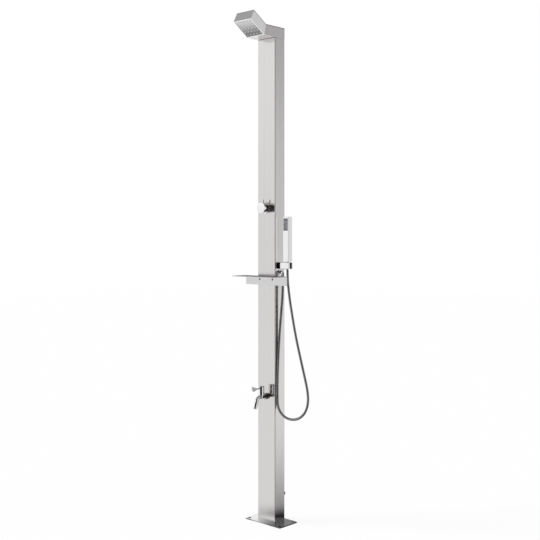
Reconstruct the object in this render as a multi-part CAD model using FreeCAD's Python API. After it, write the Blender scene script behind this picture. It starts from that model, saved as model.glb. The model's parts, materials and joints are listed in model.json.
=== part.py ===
import FreeCAD
import Part
import math
import os

Vec = FreeCAD.Vector

# Outdoor shower post, sizes in millimetres.
# Origin: centre of the floor plate's underside. +Z up, -Y is the front, +X the handset's side.

# Floor plate
PLATE_W = 200.0
PLATE_D = 110.0
PLATE_T = 4.0
PLATE_CORNER_R = 5.0
ANCHOR_PITCH_X = 174.0
ANCHOR_PITCH_Y = 84.0
ANCHOR_HOLE_D = 11.0

# Post, a rectangular steel tube
POST_W = 100.0
POST_D = 60.0
POST_WALL = 2.0
POST_CORNER_R = 3.0
POST_LENGTH = 2042.5

# Overhead shower: a level neck and a tilted box, folded from sheet and joined at a mitre
SHEET_T = 1.5
SHEET_EDGE_R = 1.0
NECK_HEIGHT = 46.0
NECK_UNDERSIDE = 126.0
HEAD_HEIGHT = 44.0
HEAD_LENGTH = 97.4
HEAD_TILT = 33.5
HEAD_END_LEAN = 6.5
HEAD_RIM = 4.0
NECK_OPENING_W = 80.0
NECK_OPENING_D = 40.0
SPIGOT_LENGTH = 42.0
SPIGOT_WALL = 2.0
HEAD_GASKET_T = 1.5
HEAD_GASKET_W = 1.1
HEAD_SCREW_D = 4.0
HEAD_SCREW_PITCH = 60.0
HEAD_SCREW_DROP = 20.5
HEAD_SCREW_LENGTH = 11.0

# Spray plate, silicone mat with its nozzles, and water chamber
SPRAY_PLATE_T = 1.5
MAT_T = 2.0
NOZZLE_ROWS = 5
NOZZLE_D = 5.0
NOZZLE_BORE_D = 1.4
NOZZLE_PROUD = 2.2
CHAMBER_SIDE_GAP = 3.5
CHAMBER_END_GAP = 3.7
CHAMBER_HEIGHT = 12.0
CHAMBER_WALL = 2.5
UNION_NUT_AF = 21.0
STUD_D = 4.0
STUD_INSET = 4.5
STUD_BOSS_D = 7.0
STUD_TIP = 1.5
NUT_M4_AF = 7.0
NUT_M4_T = 3.2

# Water pipes inside the post
PIPE_D = 15.0
PIPE_WALL = 1.0
PIPE_BEND_R = 25.0
PIPE_SOCKET_DEPTH = 12.0
SOCKET_WALL = 2.5
FEED_PIPE_D = 12.0
FEED_PIPE_INSET = 16.0

# Valve and its knob, on the front
KNOB_Z = 1331.0
VALVE_BODY_D = 44.0
VALVE_BODY_LENGTH = 42.0
VALVE_NECK_D = 30.0
VALVE_STUB = 16.0
RING_D = 51.0
RING_T = 8.0
RING_CHAMFER = 1.5
CARTRIDGE_D = 24.0
CARTRIDGE_PROUD = 2.0
SPINDLE_D = 8.0
SPINDLE_DEPTH = 20.0
KNOB_D = 46.0
KNOB_LENGTH = 26.6
KNOB_CHAMFER = 0.6
KNOB_GROOVE = 2.0
KNOB_GROOVE_D = 41.0
KNOB_WALL = 5.0
KNOB_BOSS_D = 16.0
KNOB_PIN_D = 6.0
KNOB_PIN_PROUD = 12.0
KNOB_PIN_BACK = 14.0
GRUB_D = 4.0
GRUB_LENGTH = 3.6

# Shelf, one folded sheet
SHELF_W = 236.0
SHELF_DEPTH = 91.0
SHELF_T = 3.0
SHELF_FLANGE = 39.0
SHELF_TOP = 1044.0
SHELF_BEND_R = 1.5
SHELF_CORNER_R = 4.0
SHELF_SCREW_PITCH = 74.0
SHELF_SCREW_DROP = 15.0
SHELF_SCREW_D = 4.0
SHELF_SCREW_LENGTH = 15.0
SCREW_HEAD_D = 7.6
SCREW_HEAD_T = 2.3
SCREW_SOCKET_AF = 2.5
RIVET_NUT_D = 6.0
RIVET_NUT_LENGTH = 12.0
RIVET_COLLAR_D = 9.0
RIVET_COLLAR_T = 3.0

# Handset holder, on the right side
HOLDER_UNDERSIDE = 1075.0
HOLDER_HEIGHT = 26.5
HOLDER_DEPTH = 26.0
HOLDER_SPACER = 8.0
HOLDER_REACH = 61.5
HOLDER_EDGE_R = 1.2
HOLDER_SLOT = 12.6
HOLDER_SCREW_D = 4.0
HOLDER_SCREW_PITCH = 13.5
HOLDER_SCREW_GRIP = 12.0
HOLDER_SCREW_HEAD_D = 7.0
HOLDER_SCREW_HEAD_T = 3.6

# Handset and the cone nut of its hose
HANDSET_REACH = 43.5
HANDSET_W = 30.0
HANDSET_DEPTH = 25.0
HANDSET_LENGTH = 189.0
HANDSET_EDGE_R = 1.2
HANDSET_WALL = 2.0
HANDSET_LIFT_GAP = 2.6
PANEL_W = 24.0
PANEL_LENGTH = 51.0
PANEL_T = 2.0
PANEL_DROP = 7.0
PANEL_COLUMNS = 4
PANEL_ROWS = 8
PANEL_PITCH = 5.4
PANEL_NOZZLE_D = 2.0
PANEL_NOZZLE_PROUD = 0.7
WATERWAY_D = 8.0
WATERWAY_BORE_D = 6.0
SPRAY_BOX_W = 20.0
SPRAY_BOX_DEPTH = 12.0
NIPPLE_D = 17.6
NIPPLE_LENGTH = 10.0
NIPPLE_FLANGE_T = 4.0
NIPPLE_FLANGE_D = 19.0
CONE_TOP_D = 21.6
CONE_TIP_D = 17.0
CONE_COLLAR_D = 23.6
CONE_COLLAR_T = 1.8
CONE_BELOW = 3.0
FERRULE_D = 12.6
FERRULE_BORE_D = 8.0
FERRULE_FLANGE_D = 15.6
FERRULE_FLANGE_T = 2.0
FERRULE_BELOW = 2.0
HOSE_WASHER_T = 1.5
SOCKET_GAP = 0.3

# Hose and the elbow that feeds it, on the right side
OUTLET_BELOW_HOLDER = 15.0
OUTLET_REACH = 17.0
OUTLET_STUB_D = 14.0
OUTLET_BORE_D = 8.6
OUTLET_FLANGE_D = 22.0
OUTLET_FLANGE_T = 3.0
ELBOW_D = 15.6
ELBOW_LEG = 12.0
ELBOW_THREAD_D = 12.6
ELBOW_THREAD_LENGTH = 8.0
HOSE_NUT_D = 16.4
HOSE_NUT_LENGTH = 14.0
HOSE_D = 11.0
HOSE_BORE_D = 8.6

# Foot tap, on the front
TAP_Z = 535.0
TAP_REACH = 32.6
TAP_PIPE_D = 16.6
TAP_BORE_D = 11.0
TAP_HUB_D = 19.4
TAP_HUB_HEIGHT = 15.0
TAP_HUB_ABOVE = 6.0
TAP_HUB_ROUND = 5.0
TAP_NECK_D = 18.8
TAP_NECK_HEIGHT = 2.6
TAP_FLANGE_D = 28.0
TAP_FLANGE_T = 3.0
TAP_SLEEVE_D = 24.0
TAP_SLEEVE_LENGTH = 9.0
TAP_CARTRIDGE_D = 15.0
TAP_CARTRIDGE_DEPTH = 12.0
TAP_BONNET_D = 17.6
TAP_BONNET_HEIGHT = 21.0
TAP_SPINDLE_D = 7.0
TAP_SPINDLE_ABOVE = 11.0
TAP_SPINDLE_BELOW = 16.0
TAP_CAP_D = 27.0
TAP_CAP_HEIGHT = 39.0
TAP_CAP_WALL = 4.0
TAP_CAP_ROUND = 6.5
TAP_CAP_GAP = 0.4
TAP_LEVER_UP = 28.0
TAP_LEVER_T = 5.0
TAP_LEVER_PIN_D = 5.0
TAP_LEVER_EDGE_R = 0.8
TAP_LEVER_LENGTH = 39.0
TAP_LEVER_TIP_RISE = 1.0
TAP_LEVER_TOP = ((0.0, 0.0), (12.0, 0.6), (24.0, 4.4), (35.0, 9.6))
TAP_LEVER_UNDER = ((33.0, 6.6), (23.0, 5.4), (12.0, 1.2), (0.0, 0.0))
SPOUT_D = 16.0
SPOUT_BORE_D = 11.0
SPOUT_FORWARD = 23.4
SPOUT_DROP = 47.6
SPOUT_RAKE = 19.0
SPOUT_BEND_R = 20.0
SPOUT_SLEEVE_D = 19.6
SPOUT_SLEEVE_LENGTH = 28.0

# Water inlet, on the back
INLET_Z = 102.0
INLET_THREAD_D = 20.9
INLET_THREAD_PROUD = 12.0
INLET_BORE_D = 13.0
INLET_SEAL_T = 1.5
INLET_HEX_AF = 24.0
INLET_HEX_T = 6.0
COUPLER_NUT_D = 30.0
COUPLER_NUT_LENGTH = 17.0
COUPLER_THREAD_DEPTH = 12.0
COUPLER_GRIPS = 24
COUPLER_GRIP_D = 1.6
COUPLER_BODY_D = 19.0
COUPLER_BODY_LENGTH = 8.0
COUPLER_NOSE_D = 15.6
COUPLER_NOSE_LENGTH = 20.4
COUPLER_GROOVE_D = 12.4
COUPLER_BORE_D = 8.5

# Nuts inside the post
LOCK_NUT_T = 6.0
LOCK_NUT_WALL = 4.5

# Gaps: between fixed pieces that fit, in running bores, and between pieces that only rest
FIT = 0.1
RUN = 0.05
SEAT = 0.3
SCREW_CLEAR = 0.2

# Where the faces of the post lie
FRONT = -POST_D / 2
BACK = POST_D / 2
SIDE = POST_W / 2
FRONT_IN = FRONT + POST_WALL
BACK_IN = BACK - POST_WALL
SIDE_IN = SIDE - POST_WALL
FEED_PIPE_X = SIDE_IN - FEED_PIPE_INSET
POST_TOP = PLATE_T + POST_LENGTH
NECK_FLOOR = POST_TOP + HEAD_GASKET_T
NECK_ROOF = NECK_FLOOR + NECK_HEIGHT

WATER_BORE = PIPE_D - 2 * PIPE_WALL

TO_FRONT = Vec(0, -1, 0)
TO_BACK = Vec(0, 1, 0)
TO_RIGHT = Vec(1, 0, 0)
UP = Vec(0, 0, 1)
DOWN = Vec(0, 0, -1)


# ---------------------------------------------------------------- helpers

def block(x, y, z):
    """A box between a low and a high value on each axis."""
    return Part.makeBox(x[1] - x[0], y[1] - y[0], z[1] - z[0], Vec(x[0], y[0], z[0]))


def rod(diameter, start, direction, length):
    return Part.makeCylinder(diameter / 2, length, start, direction)


def sleeve(outer, inner, start, direction, length):
    return rod(outer, start, direction, length).cut(rod(inner, start, direction, length))


def hexagon(across_flats, start, direction, length):
    """A hexagonal bar along direction."""
    radius = across_flats / math.sqrt(3)
    corners = []
    for index in range(7):
        angle = math.radians(60 * index)
        corners.append(Vec(radius * math.cos(angle), radius * math.sin(angle), 0))
    bar = Part.Face(Part.makePolygon(corners)).extrude(Vec(0, 0, length))
    bar.Placement = FreeCAD.Placement(start, FreeCAD.Rotation(UP, direction))
    return bar


def hex_nut(across_flats, bore, start, direction, length):
    return hexagon(across_flats, start, direction, length).cut(rod(bore, start, direction, length))


def straight_edges(shape, direction, test=None):
    """The straight edges of a shape that run along a direction."""
    found = []
    for edge in shape.Edges:
        if not isinstance(edge.Curve, Part.Line):
            continue
        if edge.Curve.Direction.cross(direction).Length > 1e-6:
            continue
        if test is None or test(edge.CenterOfMass):
            found.append(edge)
    return found


def round_edges(shape, edges, radius):
    return shape.makeFillet(radius, edges)


def rounded_post(width, depth, low, high, radius):
    """An upright bar with rounded upright edges, centred on the axis."""
    bar = block((-width / 2, width / 2), (-depth / 2, depth / 2), (low, high))
    return round_edges(bar, straight_edges(bar, UP), radius)


def side_profile(points, half_width):
    """A closed outline in Y and Z, given thickness along X about the middle."""
    corners = [Vec(-half_width, y, z) for y, z in points]
    corners.append(corners[0])
    return Part.Face(Part.makePolygon(corners)).extrude(Vec(2 * half_width, 0, 0))


def screw(diameter, length, seat, direction, head_d, head_t):
    """A button-head screw: its head stands out of the seat, its shank runs along direction."""
    head = rod(head_d, seat - direction * head_t, direction, head_t)
    rim = [edge for edge in head.Edges if edge.Closed and edge.CenterOfMass.isEqual(seat - direction * head_t, 1e-6)]
    head = head.makeFillet(head_t * 0.6, rim)
    head = head.fuse(rod(diameter, seat, direction, length)).removeSplitter()
    return head.cut(hexagon(SCREW_SOCKET_AF, seat - direction * head_t, direction, head_t * 0.6))


def join(first, *others):
    return first.fuse(list(others)).removeSplitter()


def one_node(shapes):
    """Several separate solids in one node."""
    return Part.makeCompound(shapes)


def arc_radius(points, index, limit=None):
    """The largest bend at a point: 0.45 of the shorter run, over the tangent of half the turn."""
    before = points[index] - points[index - 1]
    after = points[index + 1] - points[index]
    turn = before.getAngle(after)
    radius = 0.45 * min(before.Length, after.Length) / math.tan(turn / 2)
    if limit is None:
        return radius
    return min(radius, limit)


def bent_path(points, limit=None):
    """Straight runs joined by tangent arcs, with the list of the arcs' radii."""
    edges = []
    radii = []
    last = points[0]
    for index in range(1, len(points) - 1):
        corner = points[index]
        towards_last = (points[index - 1] - corner).normalize()
        towards_next = (points[index + 1] - corner).normalize()
        radius = arc_radius(points, index, limit)
        half_turn = (math.pi - towards_last.getAngle(towards_next)) / 2
        reach = radius * math.tan(half_turn)
        start = corner + towards_last * reach
        end = corner + towards_next * reach
        bisector = (towards_last + towards_next).normalize()
        middle = corner + bisector * (radius / math.cos(half_turn) - radius)
        edges.append(Part.LineSegment(last, start).toShape())
        edges.append(Part.Arc(start, middle, end).toShape())
        radii.append(radius)
        last = end
    edges.append(Part.LineSegment(last, points[-1]).toShape())
    return Part.Wire(edges), radii


def swept(points, diameter, limit=None):
    path, radii = bent_path(points, limit)
    heading = (points[1] - points[0]).normalize()
    circle = Part.Wire(Part.makeCircle(diameter / 2, points[0], heading))
    return path.makePipeShell([circle], True, False), path, radii


# ---------------------------------------------------------------- floor plate and post

def make_base_plate():
    plate = rounded_post(PLATE_W, PLATE_D, 0, PLATE_T, PLATE_CORNER_R)
    for x in (-ANCHOR_PITCH_X / 2, ANCHOR_PITCH_X / 2):
        for y in (-ANCHOR_PITCH_Y / 2, ANCHOR_PITCH_Y / 2):
            plate = plate.cut(rod(ANCHOR_HOLE_D, Vec(x, y, 0), UP, PLATE_T))
    return plate


def make_post_tube():
    tube = rounded_post(POST_W, POST_D, PLATE_T, POST_TOP, POST_CORNER_R)
    bore_corner = max(POST_CORNER_R - POST_WALL, 0.3)
    inner = rounded_post(POST_W - 2 * POST_WALL, POST_D - 2 * POST_WALL, PLATE_T, POST_TOP, bore_corner)
    tube = tube.cut(inner)
    holes = [
        rod(VALVE_NECK_D + 2 * FIT, Vec(0, FRONT, KNOB_Z), TO_BACK, POST_WALL),
        rod(TAP_PIPE_D + 2 * FIT, Vec(0, FRONT, TAP_Z), TO_BACK, POST_WALL),
        rod(INLET_THREAD_D + 2 * FIT, Vec(0, BACK, INLET_Z), TO_FRONT, POST_WALL),
        rod(OUTLET_STUB_D + 2 * FIT, Vec(SIDE_IN, 0, OUTLET_Z), TO_RIGHT, POST_WALL),
    ]
    for x in pair(SHELF_SCREW_PITCH):
        holes.append(rod(RIVET_NUT_D + 2 * FIT, Vec(x, FRONT, SHELF_SCREW_Z), TO_BACK, POST_WALL))
    for x in pair(HEAD_SCREW_PITCH):
        holes.append(rod(HEAD_SCREW_D + 2 * SCREW_CLEAR, Vec(x, BACK, HEAD_SCREW_Z), TO_FRONT, POST_WALL))
    for z in holder_screw_heights():
        holes.append(rod(HOLDER_SCREW_D + 2 * SCREW_CLEAR, Vec(SIDE_IN, 0, z), TO_RIGHT, POST_WALL))
    return tube.cut(holes)


def pair(pitch):
    return (-pitch / 2, pitch / 2)


# ---------------------------------------------------------------- overhead shower

HEAD_SCREW_Z = POST_TOP - HEAD_SCREW_DROP

# The foot of the mitre is where the level underside meets the spray face.
FOOT_Y = BACK - NECK_UNDERSIDE
MITRE_TOP_Y = FOOT_Y + (HEAD_HEIGHT - NECK_HEIGHT * math.cos(math.radians(HEAD_TILT))) / math.sin(
    math.radians(HEAD_TILT))

# The tilted box is drawn with Y along the spray face and Z into the box, and then set on the foot.
# In that drawing the top of the mitre lies at MITRE_U.
MITRE_U = (FOOT_Y - MITRE_TOP_Y) * math.cos(math.radians(HEAD_TILT)) + NECK_HEIGHT * math.sin(
    math.radians(HEAD_TILT))
END_SLOPE = math.tan(math.radians(HEAD_END_LEAN))
PLATE_OUT = SHEET_T
PLATE_IN = PLATE_OUT + SPRAY_PLATE_T
MAT_IN = PLATE_IN + MAT_T
CHAMBER_TOP = MAT_IN + CHAMBER_HEIGHT
SPRAY_MIDDLE = HEAD_LENGTH / 2
CHAMBER_HALF_W = POST_W / 2 - SHEET_T - CHAMBER_SIDE_GAP
CHAMBER_HALF_L = HEAD_LENGTH / 2 - CHAMBER_END_GAP
CHAMBER_LOW = SPRAY_MIDDLE - CHAMBER_HALF_L
CHAMBER_HIGH = SPRAY_MIDDLE + CHAMBER_HALF_L
INLET_LEVEL = CHAMBER_TOP + UNION_NUT_AF / math.sqrt(3) + SEAT
INLET_MOUTH = SPRAY_MIDDLE - 12.0
INLET_SEAT = INLET_MOUTH + PIPE_SOCKET_DEPTH
INLET_TURN = INLET_SEAT + PIPE_D / 2


def tilted(shape):
    """Set a solid drawn on the spray face in its place at the end of the neck."""
    turn = FreeCAD.Rotation(Vec(1, 0, 0), -HEAD_TILT).multiply(FreeCAD.Rotation(UP, 180))
    shape = shape.copy()
    shape.Placement = FreeCAD.Placement(Vec(0, FOOT_Y, NECK_FLOOR), turn).multiply(shape.Placement)
    return shape


def end_inside(level):
    """Where the inner face of the end plate lies at a height above the spray face."""
    return HEAD_LENGTH + END_SLOPE * level - SHEET_T / math.cos(math.radians(HEAD_END_LEAN))


def make_head_neck():
    half = POST_W / 2
    outline = [(BACK, NECK_FLOOR), (BACK, NECK_ROOF), (MITRE_TOP_Y, NECK_ROOF), (FOOT_Y, NECK_FLOOR)]
    neck = side_profile(outline, half)
    rounded = straight_edges(neck, TO_BACK)
    rounded += straight_edges(neck, TO_RIGHT, lambda at: at.y > BACK - 1)
    rounded += straight_edges(neck, UP)
    neck = round_edges(neck, rounded, SHEET_EDGE_R)
    inside = block(
        (-half + SHEET_T, half - SHEET_T),
        (FOOT_Y - NECK_HEIGHT, BACK - SHEET_T),
        (NECK_FLOOR + SHEET_T, NECK_ROOF - SHEET_T))
    opening = block(pair(NECK_OPENING_W), pair(NECK_OPENING_D), (NECK_FLOOR, NECK_FLOOR + SHEET_T))
    return neck.cut([inside, opening])


def make_head_box():
    half = POST_W / 2
    outline = [(0, 0), (HEAD_LENGTH, 0), (HEAD_LENGTH + END_SLOPE * HEAD_HEIGHT, HEAD_HEIGHT), (MITRE_U, HEAD_HEIGHT)]
    box = side_profile(outline, half)
    rounded = straight_edges(box, TO_BACK)
    rounded += straight_edges(box, TO_RIGHT, lambda at: at.y > SPRAY_MIDDLE)
    rounded += straight_edges(box, Vec(0, END_SLOPE, 1).normalize())
    box = round_edges(box, rounded, SHEET_EDGE_R)
    roof = HEAD_HEIGHT - SHEET_T
    inside = side_profile(
        [(-HEAD_HEIGHT, SHEET_T), (end_inside(SHEET_T), SHEET_T), (end_inside(roof), roof), (-HEAD_HEIGHT, roof)],
        half - SHEET_T)
    window = block((-half + HEAD_RIM, half - HEAD_RIM), (HEAD_RIM, HEAD_LENGTH - HEAD_RIM), (0, SHEET_T))
    return tilted(box.cut([inside, window]))


def make_head_spigot():
    gap = 2 * FIT
    width = POST_W - 2 * POST_WALL - 2 * gap
    depth = POST_D - 2 * POST_WALL - 2 * gap
    low = NECK_FLOOR - SPIGOT_LENGTH
    tube = rounded_post(width, depth, low, NECK_FLOOR, max(POST_CORNER_R - POST_WALL, 0.3) + 0.4)
    tube = tube.cut(block(pair(width - 2 * SPIGOT_WALL), pair(depth - 2 * SPIGOT_WALL), (low, NECK_FLOOR)))
    for x in pair(HEAD_SCREW_PITCH):
        tube = tube.cut(rod(HEAD_SCREW_D + 2 * FIT, Vec(x, BACK, HEAD_SCREW_Z), TO_FRONT, POST_WALL + 2 * SPIGOT_WALL))
    return tube


def make_head_gasket():
    width = POST_W - 2 * POST_WALL + 2 * HEAD_GASKET_W
    depth = POST_D - 2 * POST_WALL + 2 * HEAD_GASKET_W
    ring = rounded_post(width, depth, POST_TOP, NECK_FLOOR, max(POST_CORNER_R - 0.8, 0.5))
    return ring.cut(block(pair(width - 2 * HEAD_GASKET_W), pair(depth - 2 * HEAD_GASKET_W), (POST_TOP, NECK_FLOOR)))


def make_head_screws():
    return one_node([
        screw(HEAD_SCREW_D, HEAD_SCREW_LENGTH, Vec(x, BACK, HEAD_SCREW_Z), TO_FRONT, SCREW_HEAD_D, SCREW_HEAD_T)
        for x in pair(HEAD_SCREW_PITCH)])


def nozzle_places():
    middle = (NOZZLE_ROWS - 1) / 2
    pitch_x = 2 * CHAMBER_HALF_W / NOZZLE_ROWS
    pitch_u = 2 * CHAMBER_HALF_L / NOZZLE_ROWS
    for row in range(NOZZLE_ROWS):
        for column in range(NOZZLE_ROWS):
            yield (column - middle) * pitch_x, SPRAY_MIDDLE + (row - middle) * pitch_u


def stud_places():
    for x in pair(2 * (CHAMBER_HALF_W - STUD_INSET)):
        for along in pair(2 * (CHAMBER_HALF_L - STUD_INSET)):
            yield x, SPRAY_MIDDLE + along


def make_spray_plate():
    half = POST_W / 2 - SHEET_T - SEAT
    plate = block((-half, half), (SHEET_T + SEAT, end_inside(PLATE_OUT) - SEAT), (PLATE_OUT, PLATE_IN))
    holes = [rod(NOZZLE_D + 2 * SCREW_CLEAR, Vec(x, u, PLATE_OUT), UP, SPRAY_PLATE_T) for x, u in nozzle_places()]
    length = MAT_T + CHAMBER_HEIGHT + NUT_M4_T + STUD_TIP
    studs = [rod(STUD_D, Vec(x, u, PLATE_IN), UP, length) for x, u in stud_places()]
    return tilted(join(plate.cut(holes), *studs))


def make_spray_mat():
    mat = block((-CHAMBER_HALF_W, CHAMBER_HALF_W), (CHAMBER_LOW, CHAMBER_HIGH), (PLATE_IN, MAT_IN))
    mat = mat.cut([rod(STUD_D + 2 * SCREW_CLEAR, Vec(x, u, PLATE_IN), UP, MAT_T) for x, u in stud_places()])
    tip_length = SPRAY_PLATE_T + NOZZLE_PROUD
    tips = []
    for x, u in nozzle_places():
        tip = Part.makeCone(NOZZLE_D * 0.36, NOZZLE_D / 2, NOZZLE_PROUD, Vec(x, u, PLATE_OUT - NOZZLE_PROUD), UP)
        tips.append(tip.fuse(rod(NOZZLE_D, Vec(x, u, PLATE_OUT), UP, SPRAY_PLATE_T)))
    mat = join(mat, *tips)
    bores = [
        rod(NOZZLE_BORE_D, Vec(x, u, PLATE_OUT - NOZZLE_PROUD), UP, tip_length + MAT_T) for x, u in nozzle_places()]
    return tilted(mat.cut(bores))


def make_spray_chamber():
    half = CHAMBER_HALF_W
    low = CHAMBER_LOW
    high = CHAMBER_HIGH
    chamber = block((-half, half), (low, high), (MAT_IN, CHAMBER_TOP))
    chamber = round_edges(chamber, straight_edges(chamber, UP), CHAMBER_WALL)
    wall = CHAMBER_WALL
    pad = STUD_INSET + STUD_BOSS_D / 2
    roof = CHAMBER_TOP - wall
    across = block((-half + wall, half - wall), (low + pad, high - pad), (MAT_IN, roof))
    along = block((-half + pad, half - pad), (low + wall, high - wall), (MAT_IN, roof))
    chamber = chamber.cut(join(across, along))
    socket_d = PIPE_D + 2 * SOCKET_WALL
    dome = Part.makeSphere(socket_d / 2, Vec(0, INLET_TURN, INLET_LEVEL))
    stub = rod(socket_d, Vec(0, INLET_MOUTH, INLET_LEVEL), TO_BACK, INLET_TURN - INLET_MOUTH)
    riser = rod(socket_d, Vec(0, INLET_TURN, roof), UP, INLET_LEVEL - roof)
    chamber = join(chamber, riser, stub, dome)
    cuts = [rod(STUD_D + 2 * SCREW_CLEAR, Vec(x, u, MAT_IN), UP, CHAMBER_HEIGHT) for x, u in stud_places()]
    cuts.append(rod(PIPE_D + 2 * FIT, Vec(0, INLET_MOUTH, INLET_LEVEL), TO_BACK, PIPE_SOCKET_DEPTH))
    cuts.append(rod(WATER_BORE, Vec(0, INLET_MOUTH, INLET_LEVEL), TO_BACK, INLET_TURN - INLET_MOUTH))
    cuts.append(rod(WATER_BORE, Vec(0, INLET_TURN, MAT_IN), UP, INLET_LEVEL - MAT_IN))
    return tilted(chamber.cut(cuts))


def make_chamber_nuts():
    nuts = [
        hex_nut(NUT_M4_AF, STUD_D + 2 * FIT, Vec(x, u, CHAMBER_TOP), UP, NUT_M4_T) for x, u in stud_places()]
    return tilted(one_node(nuts))


def make_head_union_nut():
    start = Vec(0, INLET_MOUTH - LOCK_NUT_T, INLET_LEVEL)
    return tilted(hex_nut(UNION_NUT_AF, PIPE_D + 2 * FIT, start, TO_BACK, LOCK_NUT_T))


# ---------------------------------------------------------------- valve, knob and pipes

VALVE_FRONT = FRONT - RING_T + 1.0
VALVE_BACK = FRONT_IN + VALVE_BODY_LENGTH
SOCKET_D = PIPE_D + 2 * SOCKET_WALL
FEED_SOCKET_D = FEED_PIPE_D + 2 * SOCKET_WALL
VALVE_STUB_END = VALVE_BODY_D / 2 + VALVE_STUB
CARTRIDGE_TIP = VALVE_FRONT - CARTRIDGE_PROUD
KNOB_BACK = FRONT - RING_T - SEAT
KNOB_FACE = KNOB_BACK - KNOB_LENGTH
KNOB_INSIDE = KNOB_FACE + KNOB_WALL
KNOB_PIN_Y = KNOB_FACE + KNOB_PIN_BACK
SPINDLE_TIP = KNOB_INSIDE + 1.0
SPINDLE_END = CARTRIDGE_TIP + SPINDLE_DEPTH


def make_valve_body():
    axis = Vec(0, FRONT_IN, KNOB_Z)
    body = rod(VALVE_BODY_D, axis, TO_BACK, VALVE_BODY_LENGTH)
    neck = rod(VALVE_NECK_D, Vec(0, VALVE_FRONT, KNOB_Z), TO_BACK, FRONT_IN - VALVE_FRONT)
    middle = Vec(0, 0, KNOB_Z)
    up_stub = rod(SOCKET_D, middle, UP, VALVE_STUB_END)
    down_stub = rod(SOCKET_D, middle, DOWN, VALVE_STUB_END)
    corner = Vec(FEED_PIPE_X, 0, KNOB_Z)
    arm = rod(FEED_SOCKET_D, middle, TO_RIGHT, FEED_PIPE_X)
    elbow = Part.makeSphere(FEED_SOCKET_D / 2, corner)
    feed_stub = rod(FEED_SOCKET_D, corner, DOWN, VALVE_STUB_END)
    body = join(body, neck, up_stub, down_stub, arm, elbow, feed_stub)
    feed_bore = FEED_PIPE_D - 2 * PIPE_WALL
    cuts = [
        rod(CARTRIDGE_D + 2 * FIT, Vec(0, VALVE_FRONT, KNOB_Z), TO_BACK, -VALVE_FRONT + PIPE_D / 2),
        rod(WATER_BORE, middle, UP, VALVE_STUB_END),
        rod(WATER_BORE, middle, DOWN, VALVE_STUB_END),
        rod(feed_bore, middle, TO_RIGHT, FEED_PIPE_X),
        rod(feed_bore, corner, DOWN, VALVE_STUB_END),
        rod(PIPE_D + 2 * FIT, middle + UP * VALVE_STUB_END, DOWN, PIPE_SOCKET_DEPTH),
        rod(PIPE_D + 2 * FIT, middle + DOWN * VALVE_STUB_END, UP, PIPE_SOCKET_DEPTH),
        rod(FEED_PIPE_D + 2 * FIT, corner + DOWN * VALVE_STUB_END, UP, PIPE_SOCKET_DEPTH),
    ]
    return body.cut(cuts)


def make_valve_cartridge():
    length = -CARTRIDGE_TIP + PIPE_D / 2 - SEAT
    core = rod(CARTRIDGE_D, Vec(0, CARTRIDGE_TIP, KNOB_Z), TO_BACK, length)
    spindle_bore = rod(SPINDLE_D + 2 * RUN, Vec(0, CARTRIDGE_TIP, KNOB_Z), TO_BACK, SPINDLE_DEPTH + SEAT)
    port = rod(WATER_BORE, Vec(0, 0, KNOB_Z - CARTRIDGE_D), UP, CARTRIDGE_D)
    return core.cut([spindle_bore, port])


def make_valve_ring():
    ring = sleeve(RING_D, VALVE_NECK_D + 2 * FIT, Vec(0, FRONT - RING_T, KNOB_Z), TO_BACK, RING_T)
    rim = [edge for edge in ring.Edges if edge.Closed and edge.BoundBox.YMax < FRONT - RING_T / 2
           and edge.BoundBox.XLength > (RING_D + VALVE_NECK_D) / 2]
    return ring.makeChamfer(RING_CHAMFER, rim)


def make_knob():
    face = Vec(0, KNOB_FACE, KNOB_Z)
    knob = rod(KNOB_D, face, TO_BACK, KNOB_LENGTH - KNOB_GROOVE)
    rim = [edge for edge in knob.Edges if edge.Closed and edge.BoundBox.YMax < KNOB_FACE + 1]
    knob = knob.makeChamfer(KNOB_CHAMFER, rim)
    knob = join(knob, rod(KNOB_GROOVE_D, Vec(0, KNOB_BACK - KNOB_GROOVE, KNOB_Z), TO_BACK, KNOB_GROOVE))
    cavity = rod(KNOB_D - 2 * KNOB_WALL, Vec(0, KNOB_INSIDE, KNOB_Z), TO_BACK, KNOB_BACK - KNOB_INSIDE)
    knob = knob.cut(cavity)
    boss = rod(KNOB_BOSS_D, Vec(0, KNOB_INSIDE, KNOB_Z), TO_BACK, CARTRIDGE_TIP - 2 * SEAT - KNOB_INSIDE)
    knob = join(knob, boss)
    pin_axis = Vec(0, KNOB_PIN_Y, KNOB_Z)
    cuts = [
        rod(SPINDLE_D + 2 * RUN, Vec(0, SPINDLE_TIP - SEAT, KNOB_Z), TO_BACK, CARTRIDGE_TIP - SPINDLE_TIP),
        rod(KNOB_PIN_D + 2 * RUN, pin_axis + UP * (KNOB_D / 2 - KNOB_WALL - 1), UP, KNOB_WALL + 2),
        rod(GRUB_D + 2 * RUN, pin_axis, DOWN, KNOB_BOSS_D / 2),
        rod(GRUB_D + 2 * SEAT, pin_axis + DOWN * (KNOB_BOSS_D / 2 + 1), DOWN, KNOB_D / 2),
    ]
    return knob.cut(cuts)


def make_knob_pin():
    start = Vec(0, KNOB_PIN_Y, KNOB_Z + KNOB_D / 2 - KNOB_WALL)
    pin = rod(KNOB_PIN_D, start, UP, KNOB_WALL + KNOB_PIN_PROUD)
    tip = [edge for edge in pin.Edges if edge.Closed and edge.BoundBox.ZMin > start.z + 1]
    return pin.makeFillet(0.8, tip)


def make_knob_grub():
    start = Vec(0, KNOB_PIN_Y, KNOB_Z - SPINDLE_D / 2 - RUN)
    grub = rod(GRUB_D, start, DOWN, GRUB_LENGTH)
    return grub.cut(hexagon(GRUB_D / 2, start + DOWN * GRUB_LENGTH, UP, GRUB_LENGTH / 2))


def make_valve_spindle():
    return rod(SPINDLE_D, Vec(0, SPINDLE_TIP, KNOB_Z), TO_BACK, SPINDLE_END - SPINDLE_TIP)


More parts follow.
